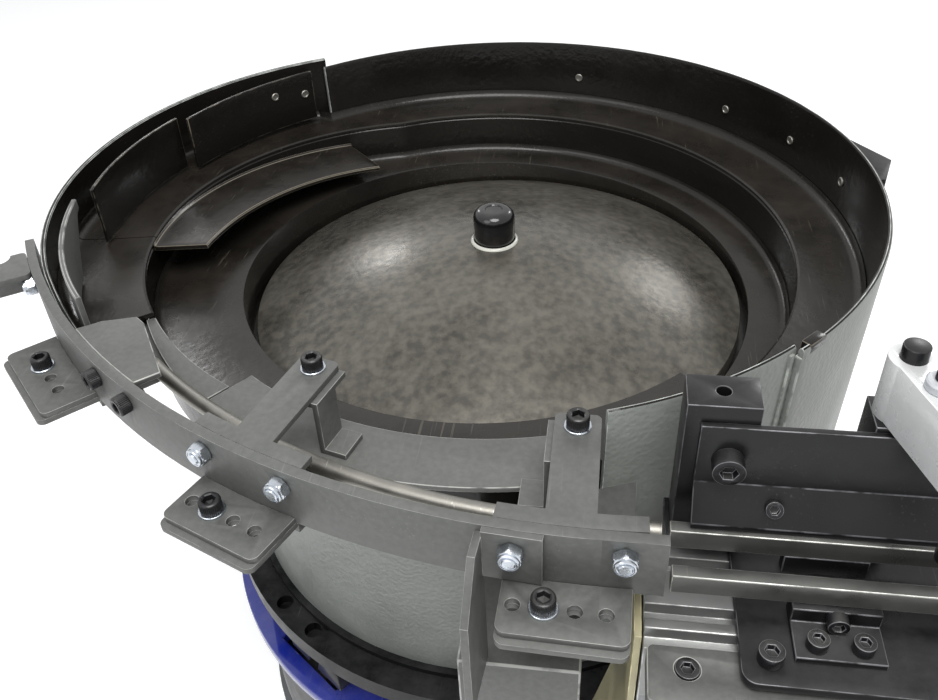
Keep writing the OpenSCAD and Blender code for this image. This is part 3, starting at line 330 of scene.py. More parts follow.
def ring_loft(rows, angles, centre=(0, 0)):
    """A closed skin through a ring of sections; rows gives a section's (radius, height) corners."""
    bm = bmesh.new()
    rings = []
    for a in angles:
        c, s = unit(a)
        rings.append([bm.verts.new(((centre[0] + r * c) * mm, (centre[1] + r * s) * mm, z * mm))
                      for r, z in rows(a)])
    for near, far in zip(rings, rings[1:]):
        n = len(near)
        for k in range(n):
            bm.faces.new((near[k], far[k], far[(k + 1) % n], near[(k + 1) % n]))
    bm.faces.new(rings[0])
    bm.faces.new(rings[-1])
    bmesh.ops.recalc_face_normals(bm, faces=bm.faces)
    return bm


def steps(a0, a1, step=1.5):
    """Angles from a0 to a1 in even steps of about the given size."""
    n = max(1, round(abs(a1 - a0) / step))
    return [a0 + (a1 - a0) * i / n for i in range(n + 1)]


def to_mesh(name, bm, *materials):
    mesh = bpy.data.meshes.new(name)
    bm.to_mesh(mesh)
    bm.free()
    for material in materials:
        mesh.materials.append(material)
    return mesh


def line_inside(bm):
    """Faces that look at the bowl's axis, and those on top of the rim, take the second material."""
    towards_axis, on_top = -0.25, 0.5
    for face in bm.faces:
        middle = face.calc_center_median()
        out = Vector((middle.x, middle.y, 0)).normalized()
        if face.normal.dot(out) < towards_axis or face.normal.z > on_top:
            face.material_index = 1


rim_z, rim_r, wall_t, taper, apron_h = 445.0, 225.0, 3.0, 4.0, 155.0
front_a, start_a, seam_a, front_in = -70.6, -45.0, 132.0, 4.0


def sheet_top(r_in, r_out, z, side, inset, dip):
    """The upper edge of a sheet with its corners taken off, from the outer side to the inner."""
    return [(r_out, z - side), (r_out - inset, z - dip), ((r_in + r_out) / 2, z), (r_in + inset, z - dip),
            (r_in, z - side)]


def wall_rows(inward):
    """The outer wall's section, moved inward."""
    r_out, low = rim_r - inward, rim_z - apron_h
    rows = [(r_out - wall_t - taper, low), (r_out - taper, low)]
    rows += sheet_top(r_out - wall_t, r_out, rim_z, side=2.0, inset=0.5, dip=0.7)
    return lambda a: rows


wall = ring_loft(wall_rows(0), steps(start_a, seam_a))
front_mesh = to_mesh("front", ring_loft(wall_rows(front_in), steps(front_a, start_a)))
wall.from_mesh(front_mesh)
bpy.data.meshes.remove(front_mesh)
wall.normal_update()
line_inside(wall)
break_edges(wall, 0.3)
fit_out("outer_shell", to_mesh("outer_shell", wall, shell_paint, lining), "bowl", "outer_wall", slot="shell")


def upright(bm, turn, inward, half, below, lean=0.0):
    """A bar on the wall's circle, between two distances inward and two below the rim."""
    c, s = unit(turn)
    (r0, r1), (z0, z1) = (rim_r - inward[0], rim_r - inward[1]), (rim_z - below[0], rim_z - below[1])
    corners = [bm.verts.new((((r - d) * c - t * s) * mm, ((r - d) * s + t * c) * mm, z * mm))
               for z, d in ((z0, lean), (z1, 0))
               for r, t in ((r0, -half), (r1, -half), (r1, half), (r0, half))]
    for quad in ((0, 1, 2, 3), (7, 6, 5, 4), (0, 4, 5, 1), (1, 5, 6, 2), (2, 6, 7, 3), (3, 7, 4, 0)):
        bm.faces.new([corners[k] for k in quad])


def wall_bars(name, material, width, *bars):
    """Upright bars as one piece of the shell."""
    bm = bmesh.new()
    for bar in bars:
        upright(bm, **bar)
    bmesh.ops.recalc_face_normals(bm, faces=bm.faces)
    break_edges(bm, width)
    fit_out(name, to_mesh(name, bm, material), "bowl", slot="shell")


# The fold where the wall steps in on the right: two strips of the sheet, and a black tab on the rim
wall_bars("shell_fold", shell_paint, 0.8,
          {"turn": start_a + 0.4, "inward": (4.0, 0.1), "half": 2.4, "below": (apron_h, 5.0), "lean": taper},
          {"turn": start_a - 0.9, "inward": (6.5, 2.6), "half": 1.6, "below": (apron_h, 3.0), "lean": taper})
wall_bars("rim_tab", lining, 0.35,
          {"turn": start_a + 2.8, "inward": (5.4, 0.05), "half": 6.0, "below": (5.0, 0.1)})

# The left wall bulges round the discharge and its rim runs down to the guard bar
bulge, left_y, left_r = 45.8, -1.6, 189.0
left_x = -(rim_r + bulge - left_r)
left_rise, guard_drop, track_drop = 4.0, 10.0, 35.0
low_a, cut_a, left_stop_a, left_end_a = 200.0, 206.0, 217.0, 221.0
left_h, left_low_h, lap_a, cut_hop_a = 90.0, 41.0, 1.0, 0.5


def reach(cx, cy, r, a):
    """Distance from the bowl's axis to a circle, along an azimuth."""
    c, s = unit(a)
    t = cx * c + cy * s
    return t + math.sqrt(r * r - cx * cx - cy * cy + t * t)


def left_top(a):
    if a <= cut_a:
        return rim_z + left_rise - (left_rise + guard_drop) * (a - seam_a) / (cut_a - seam_a)
    return rim_z - guard_drop - (track_drop - guard_drop) * (a - cut_a) / (left_end_a - cut_a)


def left_rows(a):
    r, low = reach(left_x, left_y, left_r, a), rim_z - (left_h if a < low_a else left_low_h)
    return [(r - wall_t, low), (r, low)] + sheet_top(r - wall_t, r, left_top(a), side=0.8, inset=0.6, dip=0.1)


left = ring_loft(left_rows, steps(seam_a - lap_a, cut_a, 1.2) + steps(cut_a + cut_hop_a, left_stop_a))
line_inside(left)
break_edges(left, 0.25)
fit_out("left_shell", to_mesh("left_shell", left, shell_paint, lining), "bowl", "left_wall", slot="shell")


def cad_copy(node, width):
    """A node's solid with its triangles joined to faces and its sharp edges broken."""
    weld, in_plane = 0.002, 0.6
    bm = bmesh.new()
    bm.from_mesh(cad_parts[node].data)
    bmesh.ops.remove_doubles(bm, verts=bm.verts, dist=weld * mm)
    bmesh.ops.dissolve_limit(bm, angle_limit=math.radians(in_plane), verts=bm.verts, edges=bm.edges)
    break_edges(bm, width)
    return bm


def dress(node, width, material, body, slot):
    """A piece with the node's own shape, its edges rounded."""
    fit_out(node + "_piece", to_mesh(node, cad_copy(node, width), material), body, node, slot=slot)


drum = cad_copy("bowl_drum", 0.8)
lined_above, faces_up = 340.0, 0.3
for face in drum.faces:
    if face.normal.z > faces_up and face.calc_center_median().z > lined_above * mm:
        face.material_index = 1
fit_out("drum_piece", to_mesh("drum", drum, shell_paint, lining), "bowl", "bowl_drum", slot="shell")

# Tracks and risers
# Sheet shelves that climb round the bowl, welded to the risers and sprayed with the black
# lining. The spray rounds every inner corner, and use has worn the shelves duller and paler.
outer_climb, climb, shelf_t, gap = 17.0, 34.0, 3.0, 0.2
joint_a, step_down_a, return_start_a, open_a = 187.0, 211.0, 233.0, 290.0
riser_hop_a, shelf_hop_a, past_seam_a, joint_gap_a = 0.2, 0.3, 1.6, 0.2
riser_r, dome_r, floor_z = 187.0, 156.0, 349.0
riser_x, riser_y, left_riser_r = -45, -4, 173
rod_drop, rod_d, transfer_t = 40.0, 8.0, 2.0
rod_z = rim_z - rod_drop
return_z = rod_z - rod_d / 2 - gap
nip = 0.8


def riser_at(a):
    return max(riser_r, reach(riser_x, riser_y, left_riser_r, a))


def shelf_z(a):
    return rim_z - track_drop - outer_climb * (left_end_a - a) / (left_end_a - start_a)


def inner_z(a):
    return shelf_z(start_a) - climb * (360 + start_a - a) / 360


transfer_top = shelf_z(step_down_a) - shelf_t


def transfer_z(a):
    return transfer_top + (return_z - transfer_top) * (a - step_down_a) / (return_start_a - step_down_a)


def riser_top(a):
    if a <= step_down_a:
        return shelf_z(a) - shelf_t
    return transfer_z(a) - transfer_t - gap if a < return_start_a else return_z - shelf_t


def riser_rows(a):
    r_in, r_out, z = riser_at(a) - wall_t, riser_at(a), riser_top(a)
    return [(r_in, floor_z), (r_out, floor_z), (r_out, z - nip), (r_out - nip, z), (r_in + nip, z),
            (r_in, z - nip)]


# A rubbed lining: as above, duller, dustier and worn paler
path_lining = finish("rubbed lining", (0.014, 0.012, 0.01), 0.24, level=0.3, shade=0.6, scale=16.0,
                     worn=(0.17, 0.15, 0.115), wear=0.7, scuffed=0.3, dusty=0.2,
                     dust_colour=(0.07, 0.06, 0.048), vary=0.1)
peel(path_lining, 0.3, 0.5 * mm, Scale=190.0, Detail=3.0)

riser_as = steps(start_a, step_down_a)
riser_as += steps(step_down_a + riser_hop_a, return_start_a - riser_hop_a / 2) + steps(return_start_a, open_a)
riser = ring_loft(riser_rows, riser_as)
fit_out("riser_sheet", to_mesh("riser_sheet", riser, lining), "bowl", "riser", slot="lining")


def wall_in(drop):
    """The outer wall's inner radius at a depth below the rim."""
    return rim_r - wall_t - taper * drop / apron_h


def cove(r, z, radius):
    """The spray that rounds the corner between a wall and a shelf, from the wall down."""
    return [(r - radius * (1 - c), z + radius * (1 - s)) for c, s in map(unit, (0, 22.5, 45, 67.5, 90))]


inner_stop_a, widen_a, wall_gap, dome_gap, shelf_cove, open_cove = 314.0, 4.0, 5.0, 4.0, 5.0, 0.5
widest = wall_in(rim_z - floor_z) - wall_gap


def inner_rows(a):
    """Up to the end of the riser the shelf meets it; past it the shelf widens to the wall."""
    r_in, z = dome_r + dome_gap, inner_z(a)
    if a <= open_a:
        r_out, radius = riser_at(a) - wall_t - gap, shelf_cove
    else:
        seat = riser_at(open_a) - wall_t
        r_out, radius = min(widest, seat - gap + (widest - seat) * (a - open_a) / widen_a), open_cove
    edge_rows = [(r_in + 1, z), (r_in + 0.3, z - 0.3), (r_in, z - 1)]
    return [(r_in, floor_z), (r_out, floor_z)] + cove(r_out, z - gap, radius) + edge_rows


inner = ring_loft(inner_rows, steps(start_a, open_a) + steps(open_a + 0.5, open_a + widen_a, 1)
                  + steps(open_a + widen_a + 1, inner_stop_a))
fit_out("inner_shelf", to_mesh("inner_shelf", inner, path_lining), "bowl", "inner_track", slot="lining")


def outer_out(a):
    if a <= seam_a + lap_a:
        return wall_in(track_drop + outer_climb) - gap
    return reach(left_x, left_y, left_r, a) - wall_t - gap


def shelf_rows(r_in, a):
    """A shelf that banks outwards from its inner radius to the wall."""
    r_out, z, bank, round_r = outer_out(a), shelf_z(a), 1.0, 6.0
    under = [(r_in, z - shelf_t + nip), (r_in + nip, z - shelf_t), (r_out, z - shelf_t - bank)]
    over = [(0.5 * (r_in + r_out), z - 0.9), (r_in + 1.2, z), (r_in, z - nip)]
    return under + cove(r_out, z - bank, round_r) + over


outer_as = steps(start_a + lap_a, seam_a + shelf_hop_a)
outer_as += steps(seam_a + past_seam_a, joint_a - joint_gap_a)
outer = ring_loft(lambda a: shelf_rows(riser_at(a) - wall_t, a), outer_as)
fit_out("outer_shelf", to_mesh("outer_shelf", outer, path_lining), "bowl", "outer_track", slot="lining")

rod_lead = 6.0


def left_in(a):
    """The left shelf's inner radius: the riser's, and past its step about that of the rods' start."""
    return riser_at(a) - wall_t if a <= step_down_a else rim_r - rod_lead


left_shelf = ring_loft(lambda a: shelf_rows(left_in(a), a),
                       steps(joint_a, step_down_a) + steps(step_down_a + shelf_hop_a, left_end_a))
fit_out("left_shelf", to_mesh("left_shelf", left_shelf, path_lining), "bowl", "left_track", slot="lining")

cover_ends, cover_radii, cover_dip = (132, 189), (148, 181), 10.0
cover_fillet = ((0, 2), (1, 0.6), (3, 0))


def cover_rows(a):
    s = (a - cover_ends[0]) / (cover_ends[1] - cover_ends[0])
    r_in, r_out = (1 - s) * cover_radii[0] + s * cover_radii[1], riser_at(a) - wall_t - gap
    z = shelf_z(a) - shelf_t - cover_dip * (1 - s)
    corner = [(r_out - x, z + y) for x, y in cover_fillet]
    return [(r_in, z - shelf_t), (r_out, z - shelf_t)] + corner + [(r_in + nip, z), (r_in, z - nip)]


cover = ring_loft(cover_rows, steps(*cover_ends))
break_edges(cover, 0.3)
fit_out("inner_cover", to_mesh("inner_cover", cover, path_lining), "bowl", "return_cover", slot="lining")
dress("steer_plates", 0.5, lining, "bowl", "lining")

# Dome, knob and rim lug
# The spun dome closes the middle of the bowl. It is sprayed with a thin coat through which
# the brushed metal shows in clouds and streaks. A moulded knob hides the clamping bolt.
dome_coat = finish("smoky coat", (0.088, 0.082, 0.07), 0.3, metal=0.45, shade=0.62, scale=13.0, speckle=0.3,
                   worn=(0.24, 0.222, 0.185), scuffed=0.12, dusty=0.08, vary=0.06, grain=0.5,
                   grain_depth=0.3 * mm)
dome_edge_z, dome_rise, dome_hole_r, dome_t, dome_power = 359.0, 40.0, 8.2, 2.0, 1.7
on_axis = 0.001


def dome_z(r):
    return dome_edge_z + dome_rise * (1 - ((r - dome_hole_r) / (dome_r - dome_hole_r)) ** dome_power)


def lathe(profile, turns):
    """A turned shape. A row is (radius, height), with a cut of the radius by turn where it isn't round."""
    bm = bmesh.new()
    rings = []
    for r, z, *cuts in profile:
        ring = []
        for k in range(turns):
            t = 2 * math.pi * k / turns
            reached = cuts[0](r, t) if cuts else r
            ring.append(bm.verts.new((reached * math.cos(t) * mm, reached * math.sin(t) * mm, z * mm)))
        rings.append(ring)
    for near, far in zip(rings, rings[1:]):
        for k in range(turns):
            bm.faces.new((near[k], near[(k + 1) % turns], far[(k + 1) % turns], far[k]))
    if profile[0] != profile[-1]:
        bm.faces.new(list(reversed(rings[0])))
        bm.faces.new(rings[-1])
    bmesh.ops.remove_doubles(bm, verts=bm.verts, dist=1e-7)
    bmesh.ops.recalc_face_normals(bm, faces=bm.faces)
    return bm


dome_steps = 40
radii = [dome_hole_r + (dome_r - dome_hole_r) * (i / dome_steps) for i in range(dome_steps)]
dome_rows = [(r, dome_z(r)) for r in radii] + [(dome_r - 0.4, dome_edge_z + 0.2), (dome_r, dome_edge_z - 0.6)]
dome_rows += [(dome_r, floor_z), (dome_r - dome_t, floor_z), (dome_r - dome_t, dome_edge_z - dome_t)]
dome_rows += [(r, dome_z(r) - dome_t) for r in reversed(radii)] + [(dome_hole_r, dome_z(dome_hole_r))]
dome_cone = to_mesh("dome_cone", lathe(dome_rows, turns=180), dome_coat)
fit_out("dome_cone", dome_cone, "bowl", "dome", slot="dome_grey")

black_gloss = finish("black moulding", (0.008, 0.008, 0.009), 0.13, shade=0.8, scale=20, wear=0.3,
                     scuffed=0.2, dusty=0.1, vary=0.05, grain=0.05)
knob_drop, knob_r, knob_h, knob_round, bolt_r, bolt_h = 46.0, 13.0, 22.0, 6.0, 9.2, 8.2
dimple_r, dimple_d = 5.5, 0.6
top = rim_z - knob_drop
round_z = top + knob_h - knob_round
knob_rows = [(on_axis, top + bolt_h), (bolt_r, top + bolt_h), (bolt_r, top + gap), (knob_r - 0.4, top + gap),
             (knob_r, top + 0.9), (knob_r, round_z - 1)]
knob_rows += [(knob_r - knob_round + knob_round * c, round_z + knob_round * s)
              for c, s in map(unit, range(10, 91, 10))]
knob_rows += [(dimple_r, top + knob_h), (dimple_r - 0.5, top + knob_h - dimple_d),
              (on_axis, top + knob_h - dimple_d - 0.1)]
fit_out("knob_cap", to_mesh("knob_cap", lathe(knob_rows, turns=64), black_gloss), "bowl", "centre_knob",
        slot="black_gloss")

clear_seal = finish("clear sealant", (0.55, 0.55, 0.5), 0.18, shade=0.9, scale=60, scuffed=0, dusty=0.3,
                    grain=0.3)
seal_in, seal_wide, seal_high = knob_r + 0.05, 1.9, 1.7
seal_rows = [(seal_in, top + 0.3)]
seal_rows += [(knob_r + 0.1 + seal_wide * c, top - 0.1 + seal_high * s)
              for c, s in map(unit, (80, 55, 30, 5))]
seal_rows += [(seal_in, top - 0.3), (seal_in, top + 0.3)]
fit_out("knob_seal", to_mesh("knob_seal", lathe(seal_rows, turns=64), clear_seal), "bowl")

satin_steel = finish("satin steel", (0.5, 0.5, 0.5), 0.34, metal=1.0, shade=0.85, scale=40, scuffed=0.6,
                     dusty=0.05)
dress("centre_post", 0.8, satin_steel, "bowl", "steel")
dress("centre_bolt", 0.5, satin_steel, "bowl", "steel")
black_paint = finish("black paint", (0.01, 0.01, 0.0105), 0.38, level=0.2, shade=0.7, scale=18,
                     worn=(0.11, 0.11, 0.11), wear=0.45, scuffed=0.3, dusty=0.25,
                     dust_colour=(0.16, 0.16, 0.155))
dress("rim_lug", 0.9, black_paint, "bowl", "black_oxide")

# Discharge tooling
# Guard bar, shelves, arms, posts and tabs: cut from stainless plate, bent, deburred and
# bead-blasted to an even grey. Edges are a little brighter where they have been rubbed.
blasted = finish("bead-blasted steel", (0.118, 0.121, 0.115), 0.52, metal=0.35, shade=0.86, scale=24,
                 speckle=0.06, worn=(0.4, 0.4, 0.385), wear=0.6, scuffed=0.12, dusty=0.05, vary=0.05,
                 grain=0.4, grain_depth=0.25 * mm)
for node, width in (("guard_bar", 0.7), ("hold_down", 0.5), ("arms", 0.5), ("arm_posts", 0.5),
                    ("guard_tabs", 0.6), ("bowl_lugs", 0.6), ("corner_bracket", 0.6), ("bracket_box", 1.0),
                    ("hook_lever", 0.6), ("return_shelf", 0.4)):
    dress(node, width, blasted, "bowl", "tooling")

guide_r, guide_start_a, guide_stop_a, guide_nip = 205.0, 192.0, 223.5, 0.6
guide_up, guide_down, guide_flat_a, guide_slope_a = 6.0, 34.8, 1.0, 8.0


def guide_rows(a):
    """The curved plate; its lower edge comes down past the wall's end over a few degrees."""
    slope_from = guide_start_a + guide_flat_a
    share = 1 if a < slope_from else max(0, 1 - (a - slope_from) / guide_slope_a)
    low = rim_z - guide_down + (guide_down - guide_up) * share
    r_out = guide_r + wall_t
    return [(guide_r, low), (r_out, low), (r_out, rim_z - guide_nip), (r_out - guide_nip, rim_z),
            (guide_r + guide_nip, rim_z), (guide_r, rim_z - guide_nip)]


guide = ring_loft(guide_rows, steps(guide_start_a, guide_stop_a), centre=(riser_x, riser_y))
break_edges(guide, 0.3)
fit_out("curved_guide", to_mesh("curved_guide", guide, blasted), "bowl", "guide_plate", slot="tooling")

transfer_in = 10.5


def slope_rows(a):
    r_in, r_out, z = riser_at(a) - wall_t, rim_r - transfer_in, transfer_z(a)
    return [(r_in, z - transfer_t), (r_out, z - transfer_t), (r_out, z), (r_in, z)]


slope = ring_loft(slope_rows, steps(step_down_a + shelf_hop_a, return_start_a - shelf_hop_a))
break_edges(slope, 0.4)
fit_out("sloping_plate", to_mesh("sloping_plate", slope, blasted), "bowl", "transfer_plate", slot="tooling")

# Guide rods
# Two ground steel rods, bent to the discharge arc and run straight to the linear track.
# They lie side by side under the arms, with a slot between them.
rod_steel = finish("ground steel", (0.3, 0.29, 0.265), 0.46, metal=1.0, shade=0.82, scale=55,
                   worn=(0.75, 0.72, 0.65), scuffed=0.5, dusty=0.04, vary=0.06)
arc_x, arc_y, exit_l = 73.0, 126.0, 25.0
rod_start, arc_end = math.radians(229), math.radians(270)
rod_points, tube_sides = 160, 24


def geometry_group(name, output, **inputs):
    """A geometry tree: the tree, the sockets of its input node, and the socket that it puts out."""
    tree = bpy.data.node_groups.new(name, "GeometryNodeTree")
    for label, kind in inputs.items():
        tree.interface.new_socket(name=label, in_out="INPUT", socket_type="NodeSocket" + kind)
    tree.interface.new_socket(name=output, in_out="OUTPUT", socket_type="NodeSocketGeometry")
    return tree, tree.nodes.new("NodeGroupInput").outputs, tree.nodes.new("NodeGroupOutput").inputs[output]


def put_real(tree, geometry, material, output):
    """Puts out the geometry as one mesh of the material."""
    real = add(tree, "GeometryNodeRealizeInstances", {"Geometry": geometry}).outputs[0]
    painted = add(tree, "GeometryNodeSetMaterial", {"Geometry": real, "Material": material}).outputs[0]
    tree.links.new(painted, output)


bent_rod, given, put = geometry_group("Bent rod", "Rod", Radius="Float", Thickness="Float", Height="Float",
                                      Start="Float", Straight="Float", Finish="Material")


def on_rod(operation, a, b=0.5):
    return maths(bent_rod, operation, a, b)


line = add(bent_rod, "GeometryNodeMeshLine", {"Count": rod_points, "Offset": (1, 0, 0)})
index = add(bent_rod, "GeometryNodeInputIndex").outputs[0]
bend = on_rod("MULTIPLY", on_rod("SUBTRACT", arc_end, given["Start"]), given["Radius"])
length = on_rod("ADD", bend, given["Straight"])
along = on_rod("MULTIPLY", length, on_rod("DIVIDE", index, rod_points - 1.0))
turn = on_rod("MINIMUM", on_rod("ADD", given["Start"], on_rod("DIVIDE", along, given["Radius"])), arc_end)
past = on_rod("MAXIMUM", on_rod("SUBTRACT", along, bend), 0.0)
arc_part = [on_rod("MULTIPLY", on_rod(ratio, turn), given["Radius"]) for ratio in ("COSINE", "SINE")]
x = on_rod("ADD", on_rod("ADD", arc_part[0], past), arc_x * mm)
y = on_rod("ADD", arc_part[1], arc_y * mm)
spot = add(bent_rod, "ShaderNodeCombineXYZ", {0: x, 1: y, 2: given["Height"]}).outputs[0]
laid = add(bent_rod, "GeometryNodeSetPosition", {"Geometry": line.outputs[0], "Position": spot}).outputs[0]
curve = add(bent_rod, "GeometryNodeMeshToCurve", {"Mesh": laid}).outputs[0]
ring = add(bent_rod, "GeometryNodeCurvePrimitiveCircle",
           {"Resolution": tube_sides, "Radius": on_rod("MULTIPLY", given["Thickness"], 0.5)}).outputs[0]
tube = add(bent_rod, "GeometryNodeCurveToMesh",
           {"Curve": curve, "Profile Curve": ring, "Fill Caps": True}).outputs[0]
put_real(bent_rod, tube, given["Finish"], put)


def grow(name, tree, values, mesh=None):
    """What a geometry tree makes, as a plain mesh."""
    obj = bpy.data.objects.new(name, mesh or bpy.data.meshes.new(name + "_seed"))
    scene.collection.objects.link(obj)
    made = obj.modifiers.new(name, "NODES")
    made.node_group = tree
    for item in tree.interface.items_tree:
        if item.in_out == "INPUT" and item.name in values:
            made[item.identifier] = values[item.name]
    bpy.context.view_layer.update()
    grown = bpy.data.meshes.new_from_object(obj.evaluated_get(bpy.context.evaluated_depsgraph_get()))
    bpy.data.objects.remove(obj)
    return grown


for node, radius in (("rod_inner", 362.0), ("rod_outer", 385.0)):
    bm = bmesh.new()
    bm.from_mesh(grow(node, bent_rod, {"Radius": radius * mm, "Thickness": rod_d * mm, "Height": rod_z * mm,
                                       "Start": rod_start, "Straight": exit_l * mm, "Finish": rod_steel}))
    bmesh.ops.recalc_face_normals(bm, faces=bm.faces)
    break_edges(bm, 0.5, angle=60)
    fit_out(node + "_bar", to_mesh(node, bm, rod_steel), "bowl", node, slot="rod_steel")

# Screws, washers and nuts
# Socket head screws in black oxide with knurled heads, bright zinc washers, and zinc lock
# nuts with a nylon ring. One shape of each is set on every place, turned to its axis.
oxide = finish("black oxide", (0.014, 0.014, 0.016), 0.34, metal=0.3, shade=0.7, scale=120,
               worn=(0.16, 0.16, 0.17), wear=0.6, scuffed=0.2, dusty=0.15)
zinc = finish("bright zinc", (0.62, 0.66, 0.72), 0.22, metal=1.0, shade=0.8, scale=120,
              worn=(0.85, 0.87, 0.9), scuffed=0.3, dusty=0.03)
thread, washer_t = 6, 1.2


def shape(name, material, bm):
    """A hidden object that the fastener tree sets on its places."""
    mesh = to_mesh(name, bm, material)
    polish(mesh, angle=12)
    return bpy.data.objects.new(name, mesh)


def hexagon(t):
    """A hexagon's reach at a turn, over its half width across the flats."""
    off_middle = (math.degrees(t) + 30) % 60 - 30
    return 1 / math.cos(math.radians(off_middle))


def socket_screw(d, shank):
    """Head above z = 0 with a knurled side, a chamfer and a hexagon socket; the shank below."""
    head_r, head_h, socket_r, thread_r = 0.835 * d, d, 0.43 * d, 0.5 * d - 0.1
    tip, foot, nick, chamfer = 0.5, 0.25, 0.35, 0.9
    flutes, flute_depth = 36, 0.035 * d
    socket_rim, socket_floor, socket_tip = 1.28 * socket_r, 0.45 * head_h, 0.32 * head_h

    def knurled(r, t):
        return r - flute_depth * (0.5 + 0.5 * math.cos(flutes * t))

    def hexed(r, t):
        return r * hexagon(t)

    shank_rows = [(on_axis, -shank), (0.5 * d - tip, -shank), (thread_r, tip - shank), (thread_r, 0)]
    head_rows = [(head_r - foot, 0), (head_r, foot, knurled), (head_r, head_h - chamfer, knurled),
                 (head_r - nick, head_h - nick), (head_r - chamfer, head_h)]
    socket_rows = [(socket_rim, head_h), (socket_r, head_h - nick, hexed), (socket_r, socket_floor, hexed),
                   (on_axis, socket_tip)]
    return lathe(shank_rows + head_rows + socket_rows, turns=72)


def flat_washer(d):
    """A washer of twice the thread's width, with its outer edge rounded."""
    hole_r, out_r, nick = 0.5 * d + 0.2, d, 0.2
    under_rows = [(hole_r, 0), (out_r - nick, 0), (out_r, nick)]
    over_rows = [(out_r, washer_t - 0.25), (out_r - 0.25, washer_t), (hole_r + nick, washer_t)]
    return lathe(under_rows + over_rows + [(hole_r, washer_t - nick), (hole_r, 0)], turns=48)


def lock_nut(d, shank):
    """A hexagon with rounded corners under a collar, and the screw's end that shows in it."""
    flats, thread_r, end_r = 1.585 * d, 0.5 * d - 0.1, 0.5 * d - 0.15

    def hexed(r, t):
        return min(r, flats / 2 * hexagon(t))

    shank_rows = [(on_axis, -shank), (thread_r, -shank), (thread_r, 0)]
    nut_rows = [(0.5 * flats, 0), (0.545 * flats, 0.35, hexed), (0.58 * flats, 0.7, hexed),
                (0.58 * flats, 0.6 * d, hexed), (0.53 * flats, 0.72 * d, hexed), (0.5 * flats, 0.78 * d)]
    collar = ((0.74, 0.8), (0.74, 0.96), (0.68, 1.02), (0.6, 1.03), (0.58, 0.98), (0.51, 0.95))
    collar_rows = [(r * d, z * d) for r, z in collar]
    end_rows = [(end_r, 0.95 * d), (end_r, 1.06 * d), (0.5 * d - 0.6, 1.13 * d), (on_axis, 1.13 * d)]
    return lathe(shank_rows + nut_rows + collar_rows + end_rows, turns=72)


fasteners, given, put = geometry_group("Fasteners", "Set", Places="Geometry", Shape="Object",
                                       Finish="Material")
axis = add(fasteners, "GeometryNodeInputNamedAttribute", {"Name": "axis"},
           data_type="FLOAT_VECTOR").outputs[0]
turned = add(fasteners, "FunctionNodeAlignRotationToVector", {"Vector": axis}, axis="Z").outputs[0]
one = add(fasteners, "GeometryNodeObjectInfo", {"Object": given["Shape"]}).outputs["Geometry"]
many = add(fasteners, "GeometryNodeInstanceOnPoints",
           {"Points": given["Places"], "Instance": one, "Rotation": turned}).outputs[0]
put_real(fasteners, many, given["Finish"], put)


def set_out(name, one, material, places, body, *nodes, slot=None):
    """The shape on each place; a place is (point in millimetres, axis)."""
    seed = bpy.data.meshes.new(name + "_places")
    seed.from_pydata([[c * mm for c in point] for point, _ in places], [], [])
    axes = seed.attributes.new("axis", "FLOAT_VECTOR", "POINT").data
    axes.foreach_set("vector", [c for _, axis in places for c in axis])
    fit_on(name, grow(name, fasteners, {"Shape": one, "Finish": material}, seed), body, nodes)


guard_z, guard_h, guard_in, guard_out, plate_t = rim_z - guard_drop, 30.0, 390.0, 395.0, 3.0
bolt_z, on_bar = guard_z - 8.5, guard_out + gap
UP = (0, 0, 1)


def on_arc(r, a, z, dx=0.0, dy=0.0, skew=0.0):
    """A point on the discharge arc, moved dx along it and dy inwards in axes turned by skew."""
    (c, s), (fc, fs) = unit(a), unit(a + 90 + skew)
    return (arc_x + r * c + dx * fc - dy * fs, arc_y + r * s + dx * fs + dy * fc, z)


def outwards(a):
    return (*unit(a), 0)


# Each tab's and each arm's screw stands on a washer; the bar carries two screws and five nuts
tab_as, tab_dx, tab_dy = (225.3, 247, 268.2), -8.0, -13.0
arm_turns, arm_dy = ((247.1, 7.1), (268.2, 1.5)), 56.0
head_as, nut_as, bracket_nut_a = (231.8, 235.9), (244, 250.3, 265.1, 271.3, 216.8), 265.1
flat_places = [(on_arc(on_bar, a, guard_z - guard_h + plate_t, tab_dx, tab_dy), UP) for a in tab_as]
flat_places += [(on_arc(guard_in - gap, a, guard_z, 0, arm_dy, skew), UP) for a, skew in arm_turns]
raised = [((x, y, z + washer_t), axis) for (x, y, z), axis in flat_places]
head_places = [(on_arc(on_bar, a, bolt_z), outwards(a)) for a in head_as]
screw = shape("screw", oxide, socket_screw(thread, shank=9))
washer = shape("washer", zinc, flat_washer(thread))
nut = shape("nut", zinc, lock_nut(thread, shank=5))
set_out("tooling_screws", screw, oxide, raised + head_places, "bowl", "bowl_screws", slot="black_oxide")
set_out("tooling_washers", washer, zinc, flat_places, "bowl", "bowl_washers", slot="zinc")
nut_places = [(on_arc(on_bar + (plate_t + gap if a == bracket_nut_a else 0), a, bolt_z), outwards(a))
              for a in nut_as]
set_out("tooling_nuts", nut, zinc, nut_places, "bowl", "lock_nuts", slot="zinc")

# Screw ends in the wall, and two in the liner plate, whose arc has its own centre
wall_screw_drop, wall_screw_as = 26.0, (78.9, 46.6, 30.1, 13.7)
liner_x, liner_y, liner_r, liner_screws = -25, -3, 207.9, ((138.4, 433.5), (131.6, 429.0))
end_rows = [(on_axis, 0), (3, 0), (3, 0.5), (2.6, 0.9), (2.0, 0.9), (1.7, 0.5), (on_axis, 0.4)]
screw_end = shape("wall_screw", rod_steel, lathe(end_rows, turns=32))


def on_wall(cx, cy, r, a, z):
    """A place on the inner side of an arc, with its axis towards the arc's centre."""
    c, s = unit(a)
    return (cx + r * c, cy + r * s, z), (-c, -s, 0)


